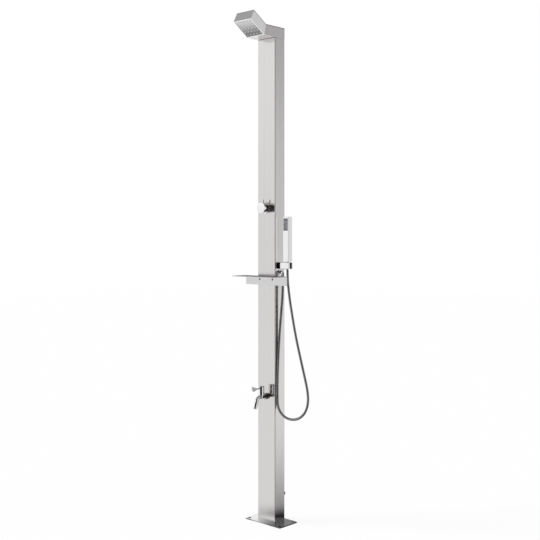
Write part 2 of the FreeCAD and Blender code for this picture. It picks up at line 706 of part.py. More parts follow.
def upright_pipe(diameter, x, low, high):
    return sleeve(diameter, diameter - 2 * PIPE_WALL, Vec(x, 0, low), UP, high - low)


INLET_ELBOW_TOP = INLET_Z + INLET_THREAD_D / 2 + PIPE_SOCKET_DEPTH
TEE_HALF = TAP_PIPE_D / 2 + PIPE_SOCKET_DEPTH
SOCKET_SEAT = PIPE_SOCKET_DEPTH - SEAT


def make_lower_riser():
    return upright_pipe(PIPE_D, 0, INLET_ELBOW_TOP - SOCKET_SEAT, TAP_Z - TEE_HALF + SOCKET_SEAT)


def make_upper_riser():
    return upright_pipe(PIPE_D, 0, TAP_Z + TEE_HALF - SOCKET_SEAT, KNOB_Z - VALVE_STUB_END + SOCKET_SEAT)


def make_head_riser():
    """From the valve up the post, through the neck and into the spray chamber's socket."""
    tilt = math.radians(HEAD_TILT)
    along = Vec(0, -math.cos(tilt), math.sin(tilt))
    inward = Vec(0, math.sin(tilt), math.cos(tilt))
    end = Vec(0, FOOT_Y, NECK_FLOOR) + along * (INLET_SEAT - SEAT) + inward * INLET_LEVEL
    level = (NECK_FLOOR + NECK_ROOF) / 2
    turn = end - along * ((end.z - level) / along.z)
    points = [Vec(0, 0, KNOB_Z + VALVE_STUB_END - SOCKET_SEAT), Vec(0, 0, level), turn, end]
    outside = swept(points, PIPE_D, PIPE_BEND_R)[0]
    return outside.cut(swept(points, WATER_BORE, PIPE_BEND_R)[0])


def make_hand_feed_pipe():
    low = OUTLET_Z + OUTLET_SOCKET_TOP - SOCKET_SEAT
    return upright_pipe(FEED_PIPE_D, FEED_PIPE_X, low, KNOB_Z - VALVE_STUB_END + SOCKET_SEAT)


# ---------------------------------------------------------------- shelf

SHELF_SCREW_Z = SHELF_TOP - SHELF_SCREW_DROP


def make_shelf():
    back = FRONT
    lip = back - SHELF_T
    front = back - SHELF_DEPTH
    low = SHELF_TOP - SHELF_FLANGE
    under = SHELF_TOP - SHELF_T
    outline = [(back, low), (back, SHELF_TOP), (front, SHELF_TOP), (front, under), (lip, under), (lip, low)]
    shelf = side_profile(outline, SHELF_W / 2)
    corners = straight_edges(shelf, UP, lambda at: at.y < front + 1)
    corners += straight_edges(shelf, TO_BACK, lambda at: at.z < low + 1)
    shelf = round_edges(shelf, corners, SHELF_CORNER_R)
    outer = straight_edges(shelf, TO_RIGHT, lambda at: at.y > back - 0.1 and at.z > SHELF_TOP - 0.1)
    shelf = round_edges(shelf, outer, SHELF_BEND_R + SHELF_T)
    inner = straight_edges(shelf, TO_RIGHT, lambda at: abs(at.y - lip) < 0.1 and abs(at.z - under) < 0.1)
    shelf = round_edges(shelf, inner, SHELF_BEND_R)
    for x in pair(SHELF_SCREW_PITCH):
        shelf = shelf.cut(rod(SHELF_SCREW_D + 2 * SCREW_CLEAR, Vec(x, lip, SHELF_SCREW_Z), TO_BACK, SHELF_T))
    return shelf


def make_shelf_screws():
    seats = [Vec(x, FRONT - SHELF_T, SHELF_SCREW_Z) for x in pair(SHELF_SCREW_PITCH)]
    return one_node([
        screw(SHELF_SCREW_D, SHELF_SCREW_LENGTH, seat, TO_BACK, SCREW_HEAD_D, SCREW_HEAD_T) for seat in seats])


def make_shelf_rivet_nuts():
    nuts = []
    for x in pair(SHELF_SCREW_PITCH):
        mouth = Vec(x, FRONT, SHELF_SCREW_Z)
        barrel = rod(RIVET_NUT_D, mouth, TO_BACK, RIVET_NUT_LENGTH)
        collar = rod(RIVET_COLLAR_D, Vec(x, FRONT_IN, SHELF_SCREW_Z), TO_BACK, RIVET_COLLAR_T)
        nuts.append(join(barrel, collar).cut(rod(SHELF_SCREW_D + 2 * FIT, mouth, TO_BACK, RIVET_NUT_LENGTH)))
    return one_node(nuts)


# ---------------------------------------------------------------- handset holder

HOLDER_TOP = HOLDER_UNDERSIDE + HOLDER_HEIGHT
OUTLET_Z = HOLDER_UNDERSIDE - OUTLET_BELOW_HOLDER
HOLDER_END = SIDE + HOLDER_REACH
BLOCK_START = SIDE + HOLDER_SPACER
HANDSET_X = SIDE + HANDSET_REACH
CONE_LENGTH = HOLDER_HEIGHT + CONE_BELOW + SEAT
CONE_UNDERSIDE = HOLDER_UNDERSIDE - CONE_BELOW
CONE_SLOPE = (CONE_TOP_D - CONE_TIP_D) / 2 / CONE_LENGTH


def holder_screw_heights():
    middle = HOLDER_UNDERSIDE + HOLDER_HEIGHT / 2
    return [middle + offset for offset in pair(HOLDER_SCREW_PITCH)]


def cone_radius(z):
    """The cone nut's radius at a height, along its taper."""
    return CONE_TIP_D / 2 + CONE_SLOPE * (z - CONE_UNDERSIDE)


def make_holder_spacer():
    spacer = block((SIDE, BLOCK_START), pair(HOLDER_DEPTH), (HOLDER_UNDERSIDE, HOLDER_TOP))
    spacer = round_edges(spacer, straight_edges(spacer, TO_RIGHT), HOLDER_EDGE_R)
    cuts = [rod(HOLDER_SCREW_D + 2 * SCREW_CLEAR, Vec(SIDE, 0, z), TO_RIGHT, HOLDER_SPACER) for z in
            holder_screw_heights()]
    return spacer.cut(cuts)


def make_holder_block():
    holder = block((BLOCK_START, HOLDER_END), pair(HOLDER_DEPTH), (HOLDER_UNDERSIDE, HOLDER_TOP))
    holder = round_edges(holder, holder.Edges, HOLDER_EDGE_R)
    socket = Part.makeCone(
        cone_radius(HOLDER_UNDERSIDE) + SOCKET_GAP, cone_radius(HOLDER_TOP) + SOCKET_GAP, HOLDER_HEIGHT,
        Vec(HANDSET_X, 0, HOLDER_UNDERSIDE), UP)
    slot = block((HANDSET_X, HOLDER_END), pair(HOLDER_SLOT), (HOLDER_UNDERSIDE, HOLDER_TOP))
    cuts = [socket, slot]
    for z in holder_screw_heights():
        cuts.append(rod(HOLDER_SCREW_D + 2 * FIT, Vec(BLOCK_START, 0, z), TO_RIGHT, HOLDER_SCREW_GRIP + SEAT))
    return holder.cut(cuts)


def make_holder_screws():
    length = POST_WALL + HOLDER_SPACER + HOLDER_SCREW_GRIP
    return one_node([
        screw(HOLDER_SCREW_D, length, Vec(SIDE_IN, 0, z), TO_RIGHT, HOLDER_SCREW_HEAD_D, HOLDER_SCREW_HEAD_T)
        for z in holder_screw_heights()])


# ---------------------------------------------------------------- handset

HANDSET_LOW = HOLDER_TOP + HANDSET_LIFT_GAP
HANDSET_HIGH = HANDSET_LOW + HANDSET_LENGTH
HANDSET_FRONT = -HANDSET_DEPTH / 2
PANEL_HIGH = HANDSET_HIGH - PANEL_DROP
PANEL_LOW = PANEL_HIGH - PANEL_LENGTH
PANEL_MIDDLE = (PANEL_LOW + PANEL_HIGH) / 2
SPRAY_BOX_BACK = HANDSET_FRONT + PANEL_T + SPRAY_BOX_DEPTH
WASHER_TOP = HANDSET_LOW - NIPPLE_LENGTH
WASHER_LOW = WASHER_TOP - HOSE_WASHER_T
FERRULE_TOP = WASHER_LOW
FERRULE_LOW = CONE_UNDERSIDE - FERRULE_BELOW


def panel_places():
    for row in range(PANEL_ROWS):
        for column in range(PANEL_COLUMNS):
            x = HANDSET_X + (column - (PANEL_COLUMNS - 1) / 2) * PANEL_PITCH
            yield x, PANEL_MIDDLE + (row - (PANEL_ROWS - 1) / 2) * PANEL_PITCH


def make_handset_body():
    half = HANDSET_W / 2
    body = block((HANDSET_X - half, HANDSET_X + half), pair(HANDSET_DEPTH), (HANDSET_LOW, HANDSET_HIGH))
    body = round_edges(body, body.Edges, HANDSET_EDGE_R)
    wall = HANDSET_WALL
    hollow = block(
        (HANDSET_X - half + wall, HANDSET_X + half - wall),
        pair(HANDSET_DEPTH - 2 * wall),
        (HANDSET_LOW + wall, HANDSET_HIGH - wall))
    window = block(
        (HANDSET_X - PANEL_W / 2 - FIT, HANDSET_X + PANEL_W / 2 + FIT),
        (HANDSET_FRONT, HANDSET_FRONT + wall),
        (PANEL_LOW - FIT, PANEL_HIGH + FIT))
    nipple_hole = rod(NIPPLE_D + 2 * FIT, Vec(HANDSET_X, 0, HANDSET_LOW), UP, wall)
    return body.cut([hollow, window, nipple_hole])


def make_handset_panel():
    """The spray panel and the water box behind it, which the window in the handset frames."""
    half = PANEL_W / 2
    panel = block(
        (HANDSET_X - half, HANDSET_X + half), (HANDSET_FRONT, HANDSET_FRONT + PANEL_T), (PANEL_LOW, PANEL_HIGH))
    box_half = SPRAY_BOX_W / 2
    box_low = PANEL_LOW + (PANEL_W - SPRAY_BOX_W) / 2
    box_high = PANEL_HIGH - (PANEL_W - SPRAY_BOX_W) / 2
    box_x = (HANDSET_X - box_half, HANDSET_X + box_half)
    panel = join(panel, block(box_x, (HANDSET_FRONT + PANEL_T, SPRAY_BOX_BACK), (box_low, box_high)))
    wall = HANDSET_WALL / 2
    water = block(
        (box_x[0] + wall, box_x[1] - wall),
        (HANDSET_FRONT + PANEL_T, SPRAY_BOX_BACK - wall),
        (box_low + wall, box_high - wall))
    cuts = [water]
    for x, z in panel_places():
        cuts.append(rod(PANEL_NOZZLE_D + 2 * FIT, Vec(x, HANDSET_FRONT, z), TO_BACK, PANEL_T))
    cuts.append(rod(WATERWAY_BORE_D, Vec(HANDSET_X, SPRAY_BOX_BACK - WATERWAY_D / 2 - wall, box_low), UP, wall))
    return panel.cut(cuts)


def make_handset_nozzles():
    tips = []
    for x, z in panel_places():
        tip = rod(PANEL_NOZZLE_D, Vec(x, HANDSET_FRONT - PANEL_NOZZLE_PROUD, z), TO_BACK, PANEL_T + PANEL_NOZZLE_PROUD)
        front = [edge for edge in tip.Edges if edge.Closed and edge.BoundBox.YMax < HANDSET_FRONT]
        tips.append(tip.makeFillet(PANEL_NOZZLE_D / 5, front))
    return one_node(tips)


def make_handset_waterway():
    low = HANDSET_LOW + HANDSET_WALL + NIPPLE_FLANGE_T
    high = PANEL_LOW + (PANEL_W - SPRAY_BOX_W) / 2
    y = SPRAY_BOX_BACK - WATERWAY_D / 2 - HANDSET_WALL / 2
    return sleeve(WATERWAY_D, WATERWAY_BORE_D, Vec(HANDSET_X, y, low), UP, high - low)


def make_handset_nipple():
    flange = rod(NIPPLE_FLANGE_D, Vec(HANDSET_X, 0, HANDSET_LOW + HANDSET_WALL), UP, NIPPLE_FLANGE_T)
    thread = rod(NIPPLE_D, Vec(HANDSET_X, 0, WASHER_TOP), UP, NIPPLE_LENGTH + HANDSET_WALL)
    bore = rod(WATERWAY_BORE_D, Vec(HANDSET_X, 0, WASHER_TOP), UP, NIPPLE_LENGTH + HANDSET_WALL + NIPPLE_FLANGE_T)
    return join(flange, thread).cut(bore)


def make_hose_washer():
    return sleeve(NIPPLE_D - 1, WATERWAY_BORE_D, Vec(HANDSET_X, 0, WASHER_LOW), UP, HOSE_WASHER_T)


def make_hose_cone_nut():
    base = Vec(HANDSET_X, 0, CONE_UNDERSIDE)
    cone = Part.makeCone(CONE_TIP_D / 2, CONE_TOP_D / 2, CONE_LENGTH, base, UP)
    collar = rod(CONE_COLLAR_D, base + UP * CONE_LENGTH, UP, CONE_COLLAR_T)
    nut = join(cone, collar)
    top = CONE_UNDERSIDE + CONE_LENGTH + CONE_COLLAR_T
    flange_seat = FERRULE_TOP - FERRULE_FLANGE_T - RUN
    ferrule_room = rod(FERRULE_D + 2 * RUN, base, UP, CONE_LENGTH)
    flange_room = rod(FERRULE_FLANGE_D + 2 * RUN, Vec(HANDSET_X, 0, flange_seat), UP, WASHER_LOW - flange_seat)
    thread_room = rod(NIPPLE_D + 2 * FIT, Vec(HANDSET_X, 0, WASHER_LOW), UP, top - WASHER_LOW)
    return nut.cut([ferrule_room, flange_room, thread_room])


def make_hose_ferrule():
    """The hose's own end piece, which the cone nut turns round."""
    low = Vec(HANDSET_X, 0, FERRULE_LOW)
    stem = rod(FERRULE_D, low, UP, FERRULE_TOP - FERRULE_LOW - RUN)
    flange = rod(FERRULE_FLANGE_D, Vec(HANDSET_X, 0, FERRULE_TOP - FERRULE_FLANGE_T), UP, FERRULE_FLANGE_T - RUN)
    return join(stem, flange).cut(rod(FERRULE_BORE_D, low, UP, FERRULE_TOP - FERRULE_LOW))


# ---------------------------------------------------------------- hose outlet and hose

OUTLET_X = SIDE + OUTLET_REACH
OUTLET_SOCKET_TOP = FEED_SOCKET_D / 2 + PIPE_SOCKET_DEPTH
ELBOW_LOW = OUTLET_Z - ELBOW_LEG
HOSE_START_Z = ELBOW_LOW - HOSE_NUT_LENGTH

# Where the hose hangs, measured from the middle of the outlet elbow
HOSE_ROUTE = (
    (0.0, 0.0, -56.0),
    (-0.4, -0.8, -88.0),
    (-2.0, -2.6, -125.0),
    (-4.4, -5.2, -170.0),
    (-7.2, -8.4, -222.0),
    (-9.8, -11.6, -278.0),
    (-10.8, -14.8, -332.0),
    (-11.0, -18.0, -384.0),
    (-11.0, -20.4, -432.0),
    (-11.0, -21.6, -474.0),
    (-10.9, -21.8, -508.0),
    (-10.8, -21.4, -537.0),
    (-10.0, -20.0, -562.0),
    (-1.2, -18.6, -583.0),
    (16.0, -17.4, -598.6),
    (39.0, -16.4, -608.2),
    (65.0, -15.8, -609.9),
    (92.1, -15.1, -604.7),
    (116.6, -14.3, -591.2),
    (136.1, -13.5, -570.0),
    (148.2, -12.8, -542.7),
    (150.9, -12.2, -510.7),
    (145.3, -11.6, -475.7),
    (134.4, -11.2, -438.6),
    (121.8, -10.8, -399.2),
    (109.0, -10.4, -357.5),
    (95.5, -9.8, -314.5),
    (82.2, -9.0, -270.1),
    (70.0, -8.0, -224.3),
    (58.4, -6.6, -177.7),
    (46.7, -5.0, -131.0),
    (37.0, -3.2, -84.0),
    (29.0, -1.4, -39.0),
    (26.5, 0.0, -7.0),
)


def make_outlet_fitting():
    """The brass elbow inside the post, whose thread comes out through the side."""
    corner = Vec(FEED_PIPE_X, 0, OUTLET_Z)
    shoulder = SIDE_IN - LOCK_NUT_T - FIT
    body = join(
        Part.makeSphere(FEED_SOCKET_D / 2, corner),
        rod(FEED_SOCKET_D, corner, UP, OUTLET_SOCKET_TOP),
        rod(FEED_SOCKET_D, corner, TO_RIGHT, shoulder - FEED_PIPE_X),
        rod(OUTLET_STUB_D, corner, TO_RIGHT, OUTLET_X - ELBOW_D / 4 - FEED_PIPE_X))
    cuts = [
        rod(OUTLET_BORE_D, corner, TO_RIGHT, OUTLET_X - FEED_PIPE_X),
        rod(OUTLET_BORE_D, corner, UP, OUTLET_SOCKET_TOP),
        rod(FEED_PIPE_D + 2 * FIT, corner + UP * OUTLET_SOCKET_TOP, DOWN, PIPE_SOCKET_DEPTH),
    ]
    return body.cut(cuts)


def make_outlet_lock_nut():
    start = Vec(SIDE_IN - LOCK_NUT_T, 0, OUTLET_Z)
    return hex_nut(OUTLET_STUB_D + 2 * LOCK_NUT_WALL, OUTLET_STUB_D + 2 * FIT, start, TO_RIGHT, LOCK_NUT_T)


def make_hose_elbow():
    wall = Vec(SIDE, 0, OUTLET_Z)
    corner = Vec(OUTLET_X, 0, OUTLET_Z)
    flange = rod(OUTLET_FLANGE_D, wall, TO_RIGHT, OUTLET_FLANGE_T)
    rim = [edge for edge in flange.Edges if edge.Closed and edge.BoundBox.XMin > SIDE + OUTLET_FLANGE_T / 2]
    flange = flange.makeFillet(OUTLET_FLANGE_T / 3, rim)
    elbow = join(
        flange,
        rod(ELBOW_D, wall, TO_RIGHT, OUTLET_REACH),
        Part.makeSphere(ELBOW_D / 2, corner),
        rod(ELBOW_D, corner, DOWN, ELBOW_LEG),
        rod(ELBOW_THREAD_D, corner, DOWN, ELBOW_LEG + ELBOW_THREAD_LENGTH))
    cuts = [
        rod(OUTLET_STUB_D + 2 * FIT, wall, TO_RIGHT, OUTLET_REACH - ELBOW_D / 4 + SEAT),
        rod(OUTLET_BORE_D, corner, DOWN, ELBOW_LEG + ELBOW_THREAD_LENGTH),
    ]
    return elbow.cut(cuts)


def make_hose_nut():
    low = Vec(OUTLET_X, 0, HOSE_START_Z)
    nut = rod(HOSE_NUT_D, low, UP, HOSE_NUT_LENGTH)
    rim = [edge for edge in nut.Edges if edge.Closed]
    nut = nut.makeChamfer(1.0, rim)
    thread_room = rod(ELBOW_THREAD_D + 2 * FIT, Vec(OUTLET_X, 0, ELBOW_LOW), DOWN, ELBOW_THREAD_LENGTH + SEAT)
    return nut.cut([thread_room, rod(HOSE_BORE_D, low, UP, HOSE_NUT_LENGTH)])


def hose_route():
    """Down from the elbow beside the post, round the low loop and up to the cone nut."""
    start = Vec(OUTLET_X, 0, HOSE_START_Z)
    end = Vec(HANDSET_X, 0, FERRULE_LOW)
    outlet = Vec(OUTLET_X, 0, OUTLET_Z)
    return [start] + [outlet + Vec(*point) for point in HOSE_ROUTE] + [end]


def make_shower_hose():
    route = hose_route()
    outside, path, radii = swept(route, HOSE_D)
    inside = swept(route, HOSE_BORE_D)[0]
    hose = outside.cut(inside)
    section = math.pi / 4 * (HOSE_D ** 2 - HOSE_BORE_D ** 2)
    print("hose length %.1f, tightest arc %.1f" % (path.Length, min(radii)))
    print("hose radii", " ".join("%.0f" % radius for radius in radii))
    print("hose volume over section times length %.5f" % (hose.Volume / (section * path.Length)))
    return hose


# ---------------------------------------------------------------- foot tap

TAP_HUB_Y = FRONT - TAP_REACH
HUB_TOP = TAP_Z + TAP_HUB_ABOVE
HUB_LOW = HUB_TOP - TAP_HUB_HEIGHT
NECK_TOP = HUB_TOP + TAP_NECK_HEIGHT
CAP_LOW = NECK_TOP + TAP_CAP_GAP
CAP_TOP = CAP_LOW + TAP_CAP_HEIGHT
BONNET_TOP = NECK_TOP + TAP_BONNET_HEIGHT
TAP_SPINDLE_TOP = BONNET_TOP + TAP_SPINDLE_ABOVE
LEVER_Z = CAP_LOW + TAP_LEVER_UP
TEE_FRONT = FRONT_IN + LOCK_NUT_T + SEAT
TAP_TAIL = -WATER_BORE / 2 - 2 * SEAT


def spout_points():
    rake = math.radians(SPOUT_RAKE)
    start = Vec(0, TAP_HUB_Y, TAP_Z)
    turn = start + TO_FRONT * SPOUT_FORWARD
    end = turn + Vec(0, -math.sin(rake), -math.cos(rake)) * SPOUT_DROP
    return [start, turn, end]


def make_tap_body():
    hub_foot = Vec(0, TAP_HUB_Y, HUB_LOW)
    hub = rod(TAP_HUB_D, hub_foot, UP, TAP_HUB_HEIGHT)
    bottom = [edge for edge in hub.Edges if edge.Closed and edge.BoundBox.ZMax < HUB_LOW + 1]
    hub = hub.makeFillet(TAP_HUB_ROUND, bottom)
    neck = rod(TAP_NECK_D, hub_foot, UP, TAP_HUB_HEIGHT + TAP_NECK_HEIGHT)
    neck = neck.common(rod(TAP_NECK_D, Vec(0, TAP_HUB_Y, TAP_Z), UP, NECK_TOP - TAP_Z))
    pipe = rod(TAP_PIPE_D, Vec(0, TAP_TAIL, TAP_Z), TO_FRONT, TAP_TAIL - TAP_HUB_Y)
    spout = swept(spout_points(), SPOUT_D, SPOUT_BEND_R)[0]
    body = join(hub, neck, pipe, spout)
    pipe_bore = rod(TAP_BORE_D, Vec(0, TAP_TAIL, TAP_Z), TO_FRONT, TAP_TAIL - TAP_HUB_Y)
    spout_bore = swept(spout_points(), SPOUT_BORE_D, SPOUT_BEND_R)[0]
    seat_z = NECK_TOP - TAP_CARTRIDGE_DEPTH
    cartridge_room = rod(TAP_CARTRIDGE_D + 2 * FIT, Vec(0, TAP_HUB_Y, seat_z), UP, TAP_CARTRIDGE_DEPTH)
    return body.cut([pipe_bore, spout_bore, cartridge_room])


def make_tap_wall_flange():
    plate = rod(TAP_FLANGE_D, Vec(0, FRONT, TAP_Z), TO_FRONT, TAP_FLANGE_T)
    rim = [edge for edge in plate.Edges if edge.Closed and edge.BoundBox.YMax < FRONT - TAP_FLANGE_T / 2]
    plate = plate.makeFillet(TAP_FLANGE_T / 3, rim)
    tube = rod(TAP_SLEEVE_D, Vec(0, FRONT, TAP_Z), TO_FRONT, TAP_FLANGE_T + TAP_SLEEVE_LENGTH)
    bore = rod(TAP_PIPE_D + 2 * FIT, Vec(0, FRONT, TAP_Z), TO_FRONT, TAP_FLANGE_T + TAP_SLEEVE_LENGTH)
    return join(plate, tube).cut(bore)


def make_tap_lock_nut():
    start = Vec(0, FRONT_IN, TAP_Z)
    return hex_nut(TAP_PIPE_D + 2 * LOCK_NUT_WALL, TAP_PIPE_D + 2 * FIT, start, TO_BACK, LOCK_NUT_T)


def make_tap_tee():
    middle = Vec(0, 0, TAP_Z)
    branch_d = TAP_PIPE_D + 2 * SOCKET_WALL
    tee = join(
        rod(SOCKET_D, middle + DOWN * TEE_HALF, UP, 2 * TEE_HALF),
        rod(branch_d, middle, TO_FRONT, -TEE_FRONT))
    cuts = [
        rod(WATER_BORE, middle + DOWN * TEE_HALF, UP, 2 * TEE_HALF),
        rod(PIPE_D + 2 * FIT, middle + DOWN * TEE_HALF, UP, PIPE_SOCKET_DEPTH),
        rod(PIPE_D + 2 * FIT, middle + UP * TEE_HALF, DOWN, PIPE_SOCKET_DEPTH),
        rod(TAP_BORE_D, middle, TO_FRONT, -TEE_FRONT),
        rod(TAP_PIPE_D + 2 * FIT, Vec(0, TEE_FRONT, TAP_Z), TO_BACK, TAP_TAIL + SEAT - TEE_FRONT),
    ]
    return tee.cut(cuts)


def make_tap_cartridge():
    seat_z = NECK_TOP - TAP_CARTRIDGE_DEPTH + SEAT
    core = rod(TAP_CARTRIDGE_D, Vec(0, TAP_HUB_Y, seat_z), UP, NECK_TOP - seat_z)
    bonnet = rod(TAP_BONNET_D, Vec(0, TAP_HUB_Y, NECK_TOP), UP, TAP_BONNET_HEIGHT)
    bore = rod(TAP_SPINDLE_D + 2 * RUN, Vec(0, TAP_HUB_Y, BONNET_TOP), DOWN, TAP_SPINDLE_BELOW + SEAT)
    return join(core, bonnet).cut(bore)


def make_tap_spindle():
    low = BONNET_TOP - TAP_SPINDLE_BELOW
    return rod(TAP_SPINDLE_D, Vec(0, TAP_HUB_Y, low), UP, TAP_SPINDLE_TOP - low)


def make_tap_cap():
    cap = rod(TAP_CAP_D, Vec(0, TAP_HUB_Y, CAP_LOW), UP, TAP_CAP_HEIGHT)
    top = [edge for edge in cap.Edges if edge.Closed and edge.BoundBox.ZMin > CAP_TOP - 1]
    cap = cap.makeFillet(TAP_CAP_ROUND, top)
    roof = BONNET_TOP + 2 * SEAT
    cuts = [
        rod(TAP_CAP_D - 2 * TAP_CAP_WALL, Vec(0, TAP_HUB_Y, CAP_LOW), UP, roof - CAP_LOW),
        rod(TAP_SPINDLE_D + 2 * RUN, Vec(0, TAP_HUB_Y, CAP_LOW), UP, TAP_SPINDLE_TOP + SEAT - CAP_LOW),
        rod(TAP_LEVER_PIN_D + 2 * RUN, Vec(0, TAP_HUB_Y - TAP_SPINDLE_D, LEVER_Z), TO_FRONT, TAP_CAP_D),
    ]
    return cap.cut(cuts)


def make_tap_lever():
    """A flat paddle that widens like a fish tail, on a round pin that enters the cap."""
    cap_face = TAP_HUB_Y - TAP_CAP_D / 2
    pin_start = TAP_HUB_Y - TAP_SPINDLE_D - SEAT
    root = cap_face - 2.0
    neck = TAP_LEVER_PIN_D / 2
    upper = [Vec(0, root - along, LEVER_Z + neck + rise) for along, rise in TAP_LEVER_TOP]
    lower = [Vec(0, root - along, LEVER_Z - neck - drop) for along, drop in TAP_LEVER_UNDER]
    top = Part.BSplineCurve()
    top.interpolate(upper)
    under = Part.BSplineCurve()
    under.interpolate(lower)
    end = Part.Arc(upper[-1], Vec(0, root - TAP_LEVER_LENGTH, LEVER_Z + TAP_LEVER_TIP_RISE), lower[0])
    back = Part.LineSegment(lower[-1], upper[0])
    outline = Part.Wire([curve.toShape() for curve in (top, end, under, back)])
    paddle = Part.Face(outline).extrude(Vec(TAP_LEVER_T, 0, 0))
    paddle.translate(Vec(-TAP_LEVER_T / 2, 0, 0))
    rims = [edge for edge in paddle.Edges if edge.BoundBox.XLength < 0.1 and edge.BoundBox.YLength > 0.1]
    paddle = paddle.makeFillet(TAP_LEVER_EDGE_R, rims)
    pin = rod(TAP_LEVER_PIN_D, Vec(0, pin_start, LEVER_Z), TO_FRONT, pin_start - root + 6.0)
    return join(paddle, pin)


def make_spout_sleeve():
    start, turn, end = spout_points()
    heading = (end - turn).normalize()
    first = end - heading * SPOUT_SLEEVE_LENGTH
    tube = sleeve(SPOUT_SLEEVE_D, SPOUT_D + 2 * FIT, first, heading, SPOUT_SLEEVE_LENGTH)
    return tube


# ---------------------------------------------------------------- water inlet

INLET_HEX_START = BACK + INLET_SEAL_T
INLET_TIP = INLET_HEX_START + INLET_HEX_T + INLET_THREAD_PROUD
INLET_TAIL = WATER_BORE / 2 + 2 * SEAT
COUPLER_START = INLET_HEX_START + INLET_HEX_T
ELBOW_MOUTH = BACK_IN - LOCK_NUT_T - SEAT


def make_inlet_nipple():
    start = Vec(0, INLET_TAIL, INLET_Z)
    thread = rod(INLET_THREAD_D, start, TO_BACK, INLET_TIP - INLET_TAIL)
    flange = hexagon(INLET_HEX_AF, Vec(0, INLET_HEX_START, INLET_Z), TO_BACK, INLET_HEX_T)
    return join(thread, flange).cut(rod(INLET_BORE_D, start, TO_BACK, INLET_TIP - INLET_TAIL))


def make_inlet_seal():
    return sleeve(INLET_HEX_AF, INLET_THREAD_D + 2 * FIT, Vec(0, BACK, INLET_Z), TO_BACK, INLET_SEAL_T)


def make_inlet_lock_nut():
    start = Vec(0, BACK_IN - LOCK_NUT_T, INLET_Z)
    return hex_nut(INLET_THREAD_D + 2 * LOCK_NUT_WALL, INLET_THREAD_D + 2 * FIT, start, TO_BACK, LOCK_NUT_T)


def make_inlet_elbow():
    corner = Vec(0, 0, INLET_Z)
    body_d = INLET_THREAD_D + 2 * SOCKET_WALL
    barrel = rod(body_d, corner + TO_FRONT * (body_d / 2), TO_BACK, ELBOW_MOUTH + body_d / 2)
    rim = [edge for edge in barrel.Edges if edge.Closed and edge.BoundBox.YMax < 0]
    barrel = barrel.makeChamfer(SOCKET_WALL, rim)
    body = join(barrel, rod(SOCKET_D, corner, UP, INLET_ELBOW_TOP - INLET_Z))
    cuts = [
        rod(INLET_BORE_D, corner, TO_BACK, ELBOW_MOUTH),
        rod(INLET_THREAD_D + 2 * FIT, Vec(0, INLET_TAIL - SEAT, INLET_Z), TO_BACK, ELBOW_MOUTH - INLET_TAIL + SEAT),
        rod(WATER_BORE, corner, UP, INLET_ELBOW_TOP - INLET_Z),
        rod(PIPE_D + 2 * FIT, Vec(0, 0, INLET_ELBOW_TOP), DOWN, PIPE_SOCKET_DEPTH),
    ]
    return body.cut(cuts)


def make_hose_coupler():
    """The garden-hose adaptor: a ribbed nut on the inlet thread and a grooved nose."""
    start = Vec(0, COUPLER_START, INLET_Z)
    nut = rod(COUPLER_NUT_D, start, TO_BACK, COUPLER_NUT_LENGTH)
    nut = nut.makeChamfer(1.0, [edge for edge in nut.Edges if edge.Closed])
    grips = []
    for index in range(COUPLER_GRIPS):
        angle = 2 * math.pi * index / COUPLER_GRIPS
        out = Vec(math.cos(angle), 0, math.sin(angle)) * (COUPLER_NUT_D / 2 + COUPLER_GRIP_D / 4)
        grips.append(rod(COUPLER_GRIP_D, start + out, TO_BACK, COUPLER_NUT_LENGTH))
    nut = nut.cut(grips)
    body_start = start + TO_BACK * COUPLER_NUT_LENGTH
    body = rod(COUPLER_BODY_D, body_start, TO_BACK, COUPLER_BODY_LENGTH)
    nose_start = body_start + TO_BACK * COUPLER_BODY_LENGTH
    nose = rod(COUPLER_NOSE_D, nose_start, TO_BACK, COUPLER_NOSE_LENGTH)
    tip_edge = [edge for edge in nose.Edges if edge.Closed and edge.BoundBox.YMin > nose_start.y + 1]
    nose = nose.makeChamfer(2.0, tip_edge)
    groove_start = nose_start + TO_BACK * (COUPLER_NOSE_LENGTH * 0.55)
    groove = sleeve(COUPLER_NOSE_D + 1, COUPLER_GROOVE_D, groove_start, TO_BACK, 3.0)
    coupler = join(nut, body, nose.cut(groove))
    total = COUPLER_NUT_LENGTH + COUPLER_BODY_LENGTH + COUPLER_NOSE_LENGTH
    thread_depth = INLET_TIP - COUPLER_START + SEAT
    cuts = [
        rod(COUPLER_BORE_D, start, TO_BACK, total),
        rod(INLET_THREAD_D + 2 * FIT, start, TO_BACK, thread_depth),
    ]
    return coupler.cut(cuts)


# ---------------------------------------------------------------- write every piece

